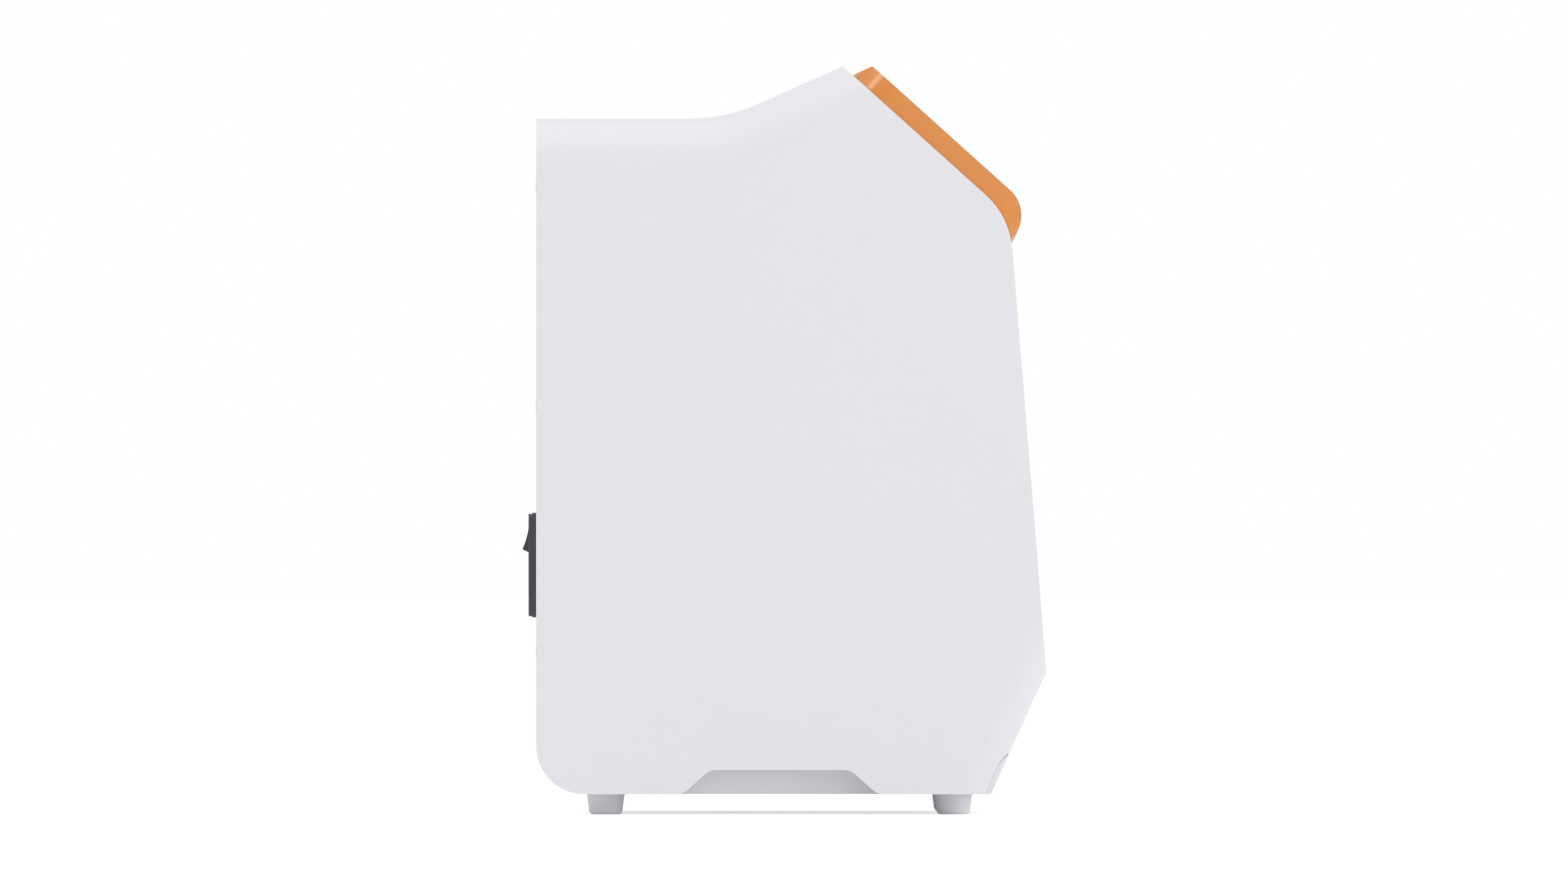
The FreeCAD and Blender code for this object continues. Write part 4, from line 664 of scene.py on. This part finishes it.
class CoversOperator(bpy.types.Operator):
    """Outer covers: shell, fascia, base pan, rear panel and the two grips"""

    bl_idname = "printer.covers"
    bl_label = "Covers"

    def execute(self, context):
        colours = context.scene.printer_colours
        sizes = context.scene.printer_sizes
        shell = moulded_plastic("shell_white", colours.shell, roughness=0.42, grain=0.04)
        trim = moulded_plastic("trim_white", colours.trim, roughness=0.55, grain=0.10)
        sheet = powder_coat("rear_sheet_coat", colours.sheet, roughness=0.5)
        # Painted light: the grip cups take the trim colour made lighter, to brighten them in the shade of
        # their recess
        grip = moulded_plastic("grip_white", scaled(colours.trim, GRIP_PAINTED_LIGHT),
                               roughness=0.6, grain=0.7, drift=0.7)
        for node in ("outer_shell", "front_fascia"):
            eased_copy(node, sizes.easing, shell)
        eased_copy("base_pan", sizes.easing, trim)
        eased_copy("rear_panel", sizes.fine_easing, sheet)
        finish_nodes(grip, "grip_cup_left", "grip_cup_right")
        return {"FINISHED"}


class VisorOperator(bpy.types.Operator):
    """Amber visor with its hinge arms, pins, magnets and catch plates"""

    bl_idname = "printer.visor"
    bl_label = "Visor"

    def execute(self, context):
        colours = context.scene.printer_colours
        sizes = context.scene.printer_sizes
        amber = amber_acrylic("amber_acrylic", colours.amber)
        pin = brushed_metal("hinge_steel", colours.steel, roughness=0.3, stretch=(0.05, 1, 1))
        plate = zinc_sheet("catch_zinc", colours.zinc)
        eased_copy("visor", sizes.easing, amber, "visor")
        finish_nodes(pin, "visor_hinge_pins", "visor_magnets")
        finish_nodes(plate, "magnet_plates", "hinge_arm_left", "hinge_arm_right")
        return {"FINISHED"}


class FeetOperator(bpy.types.Operator):
    """Four turned feet with a rim line, a rounded sole and a recess for the fixing screw"""

    bl_idname = "printer.feet"
    bl_label = "Feet"

    def execute(self, context):
        sizes = context.scene.printer_sizes
        # Partly painted light: the feet's pale rubber colour and its small darkening are set so the feet
        # look lit in the shade under the body
        rubber = moulded_plastic("foot_rubber", context.scene.printer_colours.rubber,
                                 roughness=0.7, grain=0.7, drift=0.92)
        recess_share = 0.45
        for node in ("foot_front_left", "foot_front_right", "foot_rear_left", "foot_rear_right"):
            low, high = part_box(node)
            axis = (low + high) / 2
            tall = high.z - low.z
            top = radius_at(node, high.z)
            sole = radius_at(node, low.z)
            rim = sizes.foot_rim
            recess = sole * recess_share
            bend = sizes.foot_round
            outline = [(0, tall), (top - rim, tall), (top, tall - rim), (top, tall - 3 * rim),
                       (top - rim, tall - 4 * rim), (sole + rim, bend + rim)]
            for degrees in (0, 30, 60, 90):
                turn = math.radians(degrees)
                outline.append((sole - bend + bend * math.cos(turn), bend - bend * math.sin(turn)))
            outline += [(recess, 0), (recess - rim, sizes.foot_recess), (0, sizes.foot_recess)]
            foot = spun(outline, (axis.x, axis.y, low.z))
            fit(foot, node + "_turned", "housing", rubber, node)
        return {"FINISHED"}


class InletOperator(bpy.types.Operator):
    """Power inlet with its rocker, fuse drawer and contact pins"""

    bl_idname = "printer.inlet"
    bl_label = "Power inlet"

    def execute(self, context):
        colours = context.scene.printer_colours
        sizes = context.scene.printer_sizes
        dark = moulded_plastic("inlet_moulding", scaled(colours.dark, INLET_SHADE),
                               roughness=0.5, grain=0.7, drift=0.5)
        rocker = moulded_plastic("rocker_moulding", scaled(colours.dark, ROCKER_SHADE),
                                 roughness=0.35, grain=0.1, drift=0.85)
        contact = brushed_metal("contact_brass", colours.brass, roughness=0.25, stretch=(1, 0.05, 1))
        eased_copy("inlet_housing", sizes.fine_easing, dark)
        eased_copy("power_rocker", sizes.fine_easing, rocker, "power_rocker")
        eased_copy("fuse_drawer", sizes.fine_easing, dark, "fuse_drawer")
        finish_nodes(contact, "inlet_pins")
        return {"FINISHED"}


class PanelScrewsOperator(bpy.types.Operator):
    """Six screws that hold the rear panel to the shell's bosses"""

    bl_idname = "printer.panel_screws"
    bl_label = "Panel screws"

    def execute(self, context):
        sizes = context.scene.printer_sizes
        colours = context.scene.printer_colours
        steel = brushed_metal("screw_steel", scaled(colours.steel, PANEL_SCREW_SHADE),
                              roughness=0.35, stretch=(1, 0.3, 1))
        low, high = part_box("rear_panel")
        inset = sizes.panel_screw_inset
        tall = high.z - low.z
        places = [Vector((side, high.y, low.z + share * tall))
                  for side in (low.x + inset, high.x - inset) for share in PANEL_SCREW_SHARES]
        screws = spread(socket_head(sizes.panel_screw, sizes.panel_screw_height), places, BACKWARD)
        fit(screws, "rear_panel_screws", "housing", steel)
        return {"FINISHED"}


class DisplayOperator(bpy.types.Operator):
    """Touch display: cover glass with its picture area, module and bracket"""

    bl_idname = "printer.display"
    bl_label = "Display"

    def execute(self, context):
        colours = context.scene.printer_colours
        border = context.scene.printer_sizes.display_border
        glass = black_glass("display_black_glass", "display_glass", border, colours.glass, colours.picture)
        finish_nodes(glass, "display_glass")
        case = moulded_plastic("display_case", colours.dark, roughness=0.5, grain=0.2)
        finish_nodes(case, "display_module")
        finish_nodes(zinc_sheet("display_bracket_zinc", colours.zinc), "display_bracket")
        return {"FINISHED"}


class LeadScrewOperator(bpy.types.Operator):
    """Lead screw with a rolled four-start thread, its coupler and motor shaft"""

    bl_idname = "printer.lead_screw"
    bl_label = "Lead screw"

    def execute(self, context):
        colours = context.scene.printer_colours
        sizes = context.scene.printer_sizes
        low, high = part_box("lead_screw")
        axis = (low + high) / 2
        crest = (high.x - low.x) / 2
        root = crest - sizes.thread_depth
        pitch = sizes.thread_pitch
        lead = pitch * sizes.thread_starts
        turns = math.ceil((high.z - low.z) / lead) + 2
        steps = 24
        root_share = 0.3
        crest_from = 0.5
        crest_to = 0.8
        outline = []
        for start in range(sizes.thread_starts):
            foot = start * pitch
            outline += [(root, foot), (root, foot + pitch * root_share),
                        (crest, foot + pitch * crest_from), (crest, foot + pitch * crest_to)]
        outline.append((root, lead))
        rod = draw_outline(outline, (axis.x, axis.y, low.z - lead))
        bpy.ops.object.mode_set(mode="OBJECT")
        make_active(rod)
        apply(rod, "SCREW", axis="Z", screw_offset=lead, iterations=turns, steps=steps, render_steps=steps,
              use_merge_vertices=True, merge_threshold=MERGE)
        bpy.ops.object.transform_apply(location=True, rotation=True, scale=True)
        bpy.ops.object.mode_set(mode="EDIT")
        for level, upper in ((low.z, False), (high.z, True)):
            bpy.ops.mesh.select_all(action="SELECT")
            bpy.ops.mesh.bisect(plane_co=(axis.x, axis.y, level), plane_no=UP, use_fill=True,
                                clear_outer=upper, clear_inner=not upper)
        tidy_mesh(rod)
        smooth(rod, degrees=25)
        steel = brushed_metal("screw_ground_steel", colours.steel, roughness=0.25, stretch=(1, 1, 0.3))
        fit(rod, "lead_screw_threaded", "z_screw", steel, "lead_screw")
        finish_nodes(steel, "motor_shaft")
        coupler = brushed_metal("coupler_aluminium", colours.aluminium,
                                roughness=0.32, stretch=(0.3, 0.3, 1))
        finish_nodes(coupler, "shaft_coupler")
        return {"FINISHED"}


class ZAxisOperator(bpy.types.Operator):
    """Column, rails, carriage, nut, motor and bearings of the Z axis"""

    bl_idname = "printer.z_axis"
    bl_label = "Z axis"

    def execute(self, context):
        colours = context.scene.printer_colours
        sizes = context.scene.printer_sizes
        upright = brushed_metal("column_aluminium", colours.aluminium, roughness=0.34, stretch=(1, 1, 0.04))
        plate = brushed_metal("carriage_aluminium", colours.aluminium, roughness=0.34, stretch=(0.04, 1, 1))
        ground = brushed_metal("rail_steel", colours.steel, roughness=0.24, stretch=(1, 1, 0.03))
        dark = moulded_plastic("motor_black", scaled(colours.dark, MOTOR_SHADE),
                               roughness=0.45, grain=0.25, drift=0.85)
        eased_copy("z_column", sizes.fine_easing, upright)
        for node in ("carriage", "platform_arm"):
            eased_copy(node, sizes.fine_easing, plate, "z_carriage")
        finish_nodes(ground, "linear_rails", "rail_blocks")
        brass = brushed_metal("nut_brass", colours.brass, roughness=0.3, stretch=(0.3, 0.3, 1))
        finish_nodes(brass, "lead_nut", "screw_bearings")
        finish_nodes(plate, "top_bracket")
        finish_nodes(zinc_sheet("motor_bracket_zinc", colours.zinc), "motor_bracket")
        finish_nodes(dark, "z_motor", "end_stop")
        return {"FINISHED"}


class AxisBoltsOperator(bpy.types.Operator):
    """Rail screws and arm flange bolts"""

    bl_idname = "printer.axis_bolts"
    bl_label = "Z axis bolts"

    def execute(self, context):
        colours = context.scene.printer_colours
        sizes = context.scene.printer_sizes
        steel = brushed_metal("bolt_steel", scaled(colours.steel, BOLT_SHADE),
                              roughness=0.3, stretch=(0.4, 1, 0.4))
        low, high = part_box("linear_rails")
        half = sizes.rail_width / 2
        places = [Vector((side, low.y, level)) for side in (low.x + half, high.x - half)
                  for level in row(low.z, high.z, RAIL_SCREWS)]
        rail_screws = spread(socket_head(sizes.rail_screw, sizes.rail_screw_height), places, FORWARD)
        fit(rail_screws, "rail_screws", "housing", steel)
        low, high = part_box("platform_arm")
        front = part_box("carriage")[0].y - sizes.arm_flange
        inset = sizes.arm_bolt_inset
        rise = sizes.arm_bolt_rise
        places = [Vector((side, front, level)) for side in (low.x + inset, high.x - inset)
                  for level in (low.z + rise, high.z - rise)]
        arm_bolts = spread(socket_head(sizes.bolt, sizes.bolt_height), places, FORWARD)
        fit(arm_bolts, "arm_flange_bolts", "z_carriage", steel)
        return {"FINISHED"}


class PlatformOperator(bpy.types.Operator):
    """Build platform with its etched plate and the fluted clamp knob"""

    bl_idname = "printer.platform"
    bl_label = "Build platform"

    def execute(self, context):
        colours = context.scene.printer_colours
        sizes = context.scene.printer_sizes
        plate = etched_plate("etched_aluminium", colours.aluminium)
        eased_copy("build_platform", sizes.fine_easing, plate, "z_carriage")
        knob = moulded_plastic("knob_black", scaled(colours.dark, KNOB_SHADE),
                               roughness=0.45, grain=0.3, drift=0.85)
        finish_nodes(knob, "platform_knob")
        fluted_sleeve("platform_knob", sizes, "platform_knob", knob)
        return {"FINISHED"}


class VatOperator(bpy.types.Operator):
    """Resin vat with its film, clamp frame, frame screws and the two fluted clamp knobs"""

    bl_idname = "printer.vat"
    bl_label = "Resin vat"

    def execute(self, context):
        colours = context.scene.printer_colours
        sizes = context.scene.printer_sizes
        tank = brushed_metal("vat_aluminium", scaled(colours.aluminium, VAT_SHADE),
                             roughness=0.36, stretch=(0.05, 1, 1))
        eased_copy("vat", sizes.fine_easing, tank)
        finish_nodes(clear_plastic("release_film", colours.film, share=0.9, scale=300), "vat_film")
        steel = brushed_metal("clamp_steel", colours.steel, roughness=0.3, stretch=(0.05, 1, 1))
        finish_nodes(steel, "film_clamp_frame")
        knob = moulded_plastic("vat_knob_black", scaled(colours.dark, KNOB_SHADE),
                               roughness=0.45, grain=0.3, drift=0.85)
        for side in ("left", "right"):
            node = "vat_knob_" + side
            finish_nodes(knob, node)
            fluted_sleeve(node, sizes, node, knob)
        low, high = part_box("film_clamp_frame")
        half = sizes.clamp_strip / 2
        rim_x = (low.x + half, high.x - half)
        rim_y = (low.y + half, high.y - half)
        places = [Vector((x, y, high.z)) for y in rim_y for x in row(low.x, high.x, CLAMP_SCREWS_ACROSS)]
        places += [Vector((x, y, high.z)) for x in rim_x for y in row(low.y, high.y, CLAMP_SCREWS_ALONG)]
        screws = spread(socket_head(sizes.clamp_screw, sizes.clamp_screw_height), places)
        fit(screws, "film_clamp_screws", "housing", steel)
        return {"FINISHED"}


class ExposureOperator(bpy.types.Operator):
    """Exposure unit: mask panel, lens, light tunnel, light board, heat sink and fan"""

    bl_idname = "printer.exposure"
    bl_label = "Exposure unit"

    def execute(self, context):
        colours = context.scene.printer_colours
        finish_nodes(mask_panel("mask_panel", colours.picture), "lcd_panel")
        finish_nodes(clear_plastic("lens_clear", colours.film, share=0.95, scale=90), "collimator_lens")
        finish_nodes(zinc_sheet("tunnel_zinc", colours.zinc), "light_tunnel")
        thickness = context.scene.printer_sizes.board
        light_board = circuit_board("light_board", "led_board", colours.board, thickness, colours.emitter)
        finish_nodes(light_board, "led_board")
        sink = brushed_metal("heat_sink_aluminium", colours.aluminium, roughness=0.38, stretch=(1, 0.05, 1))
        finish_nodes(sink, "heat_sink")
        fan = moulded_plastic("light_fan_black", scaled(colours.dark, FAN_SHADE),
                              roughness=0.45, grain=0.3, drift=0.85)
        finish_nodes(fan, "led_fan_frame", "led_fan_rotor")
        return {"FINISHED"}


class ElectronicsOperator(bpy.types.Operator):
    """Deck, bulkhead, frames, power supply, mainboard and exhaust fan"""

    bl_idname = "printer.electronics"
    bl_label = "Frames and supply"

    def execute(self, context):
        colours = context.scene.printer_colours
        coat = powder_coat("chamber_coat", colours.chamber, roughness=0.55)
        finish_nodes(coat, "deck_plate", "bulkhead")
        zinc = zinc_sheet("frame_zinc", colours.zinc)
        finish_nodes(zinc, "side_frame_left", "side_frame_right", "power_supply")
        thickness = context.scene.printer_sizes.board
        main_board = circuit_board("main_board", "mainboard", colours.board, thickness, colours.dark)
        finish_nodes(main_board, "mainboard")
        fan = moulded_plastic("exhaust_fan_black", scaled(colours.dark, FAN_SHADE),
                              roughness=0.45, grain=0.3, drift=0.85)
        finish_nodes(fan, "exhaust_fan_frame", "exhaust_fan_rotor")
        return {"FINISHED"}


# Place, aim and width of each lamp, in metres
LAMPS = {
    "top_lamp": ((-0.3, 0.3, 1.9), (0, 0, 0), 2.2),
    "side_lamp": ((-2.6, -0.9, 0.5), (0, 0, cad_bounds[1].z / 2), 1.8),
    "crest_lamp": ((-1.1, 1.4, 1.7), (0, 0, cad_bounds[1].z), 0.5),
    "front_lamp": ((-1.0, -2.4, 0.3), (0, cad_bounds[0].y, cad_bounds[0].z), 1.6),
    "fill_lamp": ((2.2, 1.8, 0.7), (0, 0, cad_bounds[1].z / 2), 1.8),
}


class StageOperator(bpy.types.Operator):
    """Camera, white floor and soft studio light"""

    bl_idname = "printer.stage"
    bl_label = "Stage"

    def execute(self, context):
        stage = context.scene.printer_stage
        context.scene.view_settings.view_transform = "Standard"
        self.add_camera(context, stage)
        self.add_floor()
        self.light_world(context, stage)
        for name, (place, aim, size) in LAMPS.items():
            self.add_lamp(context, name, getattr(stage, name), place, aim, size)
        return {"FINISHED"}

    def add_camera(self, context, stage):
        data = bpy.data.cameras.new("view")
        data.lens = stage.lens
        data.sensor_fit = "HORIZONTAL"
        distance = stage.view_width * data.lens / data.sensor_width
        data.clip_end = distance * 4
        camera = bpy.data.objects.new("view", data)
        context.collection.objects.link(camera)
        aim = Vector((cad_bounds[0].x, 0, stage.view_height))
        camera.location = aim + Vector((-distance, stage.view_offset, 0))
        camera.rotation_euler = (aim - camera.location).to_track_quat("-Z", "Y").to_euler()
        context.scene.camera = camera

    def add_floor(self):
        floor_width = 60
        black = (0, 0, 0)
        glow = (0.6, 0.6, 0.6)
        deselect()
        bpy.ops.mesh.primitive_plane_add(size=floor_width, location=(0, 0, 0))
        floor = bpy.context.object
        floor.name = "floor"
        finish = Finish("floor_white")
        seen = self.seen_rays(finish)
        finish.feed(Base_Color=(0.92, 0.92, 0.93, 1.0), Roughness=0.9, Emission_Strength=1.0,
                    Emission_Color=finish.between(seen, black, glow))
        floor.data.materials.append(finish.material)

    def light_world(self, context, stage):
        world = bpy.data.worlds.new("studio")
        world.use_nodes = True
        context.scene.world = world
        tree = NodeTree(world.node_tree)
        seen = self.seen_rays(tree)
        strength = span(seen, stage.sky, 1.0)
        background = world.node_tree.nodes["Background"]
        tree.fill(background, {"Color": (1.0, 1.0, 1.0, 1.0), "Strength": strength})

    def seen_rays(self, tree):
        """One for the rays that the camera, a reflection or glass sends out, and none for the rest."""
        camera = tree.node("ShaderNodeLightPath", output="Is Camera Ray")
        glossy = tree.node("ShaderNodeLightPath", output="Is Glossy Ray")
        through = tree.node("ShaderNodeLightPath", output="Is Transmission Ray")
        return (camera + glossy + through) > 0.5

    def add_lamp(self, context, name, power, place, aim, size):
        data = bpy.data.lights.new(name, "AREA")
        data.energy = power
        data.shape = "SQUARE"
        data.size = size
        lamp = bpy.data.objects.new(name, data)
        context.collection.objects.link(lamp)
        lamp.location = place
        lamp.rotation_euler = (Vector(aim) - Vector(place)).to_track_quat("-Z", "Y").to_euler()


MAKERS = (
    CoversOperator,
    VisorOperator,
    FeetOperator,
    InletOperator,
    PanelScrewsOperator,
    DisplayOperator,
    LeadScrewOperator,
    ZAxisOperator,
    AxisBoltsOperator,
    PlatformOperator,
    VatOperator,
    ExposureOperator,
    ElectronicsOperator,
    StageOperator,
)


class PrinterPanel(bpy.types.Panel):
    """Sidebar panel that lists the pieces"""

    bl_idname = "VIEW3D_PT_printer"
    bl_label = "Resin printer"
    bl_space_type = "VIEW_3D"
    bl_region_type = "UI"
    bl_category = "Printer"

    def draw(self, context):
        for maker in MAKERS:
            self.layout.operator(maker.bl_idname)


GROUPS = {
    "printer_colours": PrinterColours,
    "printer_sizes": PrinterSizes,
    "printer_stage": PrinterStage,
}


def register():
    for made in (*GROUPS.values(), *MAKERS, PrinterPanel):
        bpy.utils.register_class(made)
    for name, group in GROUPS.items():
        setattr(bpy.types.Scene, name, PointerProperty(type=group))


def unregister():
    for name in GROUPS:
        delattr(bpy.types.Scene, name)
    for made in (PrinterPanel, *reversed(MAKERS), *GROUPS.values()):
        bpy.utils.unregister_class(made)


def main():
    register()
    for maker in MAKERS:
        group, piece = maker.bl_idname.split(".")
        getattr(getattr(bpy.ops, group), piece)()


if __name__ == "__main__":
    main()
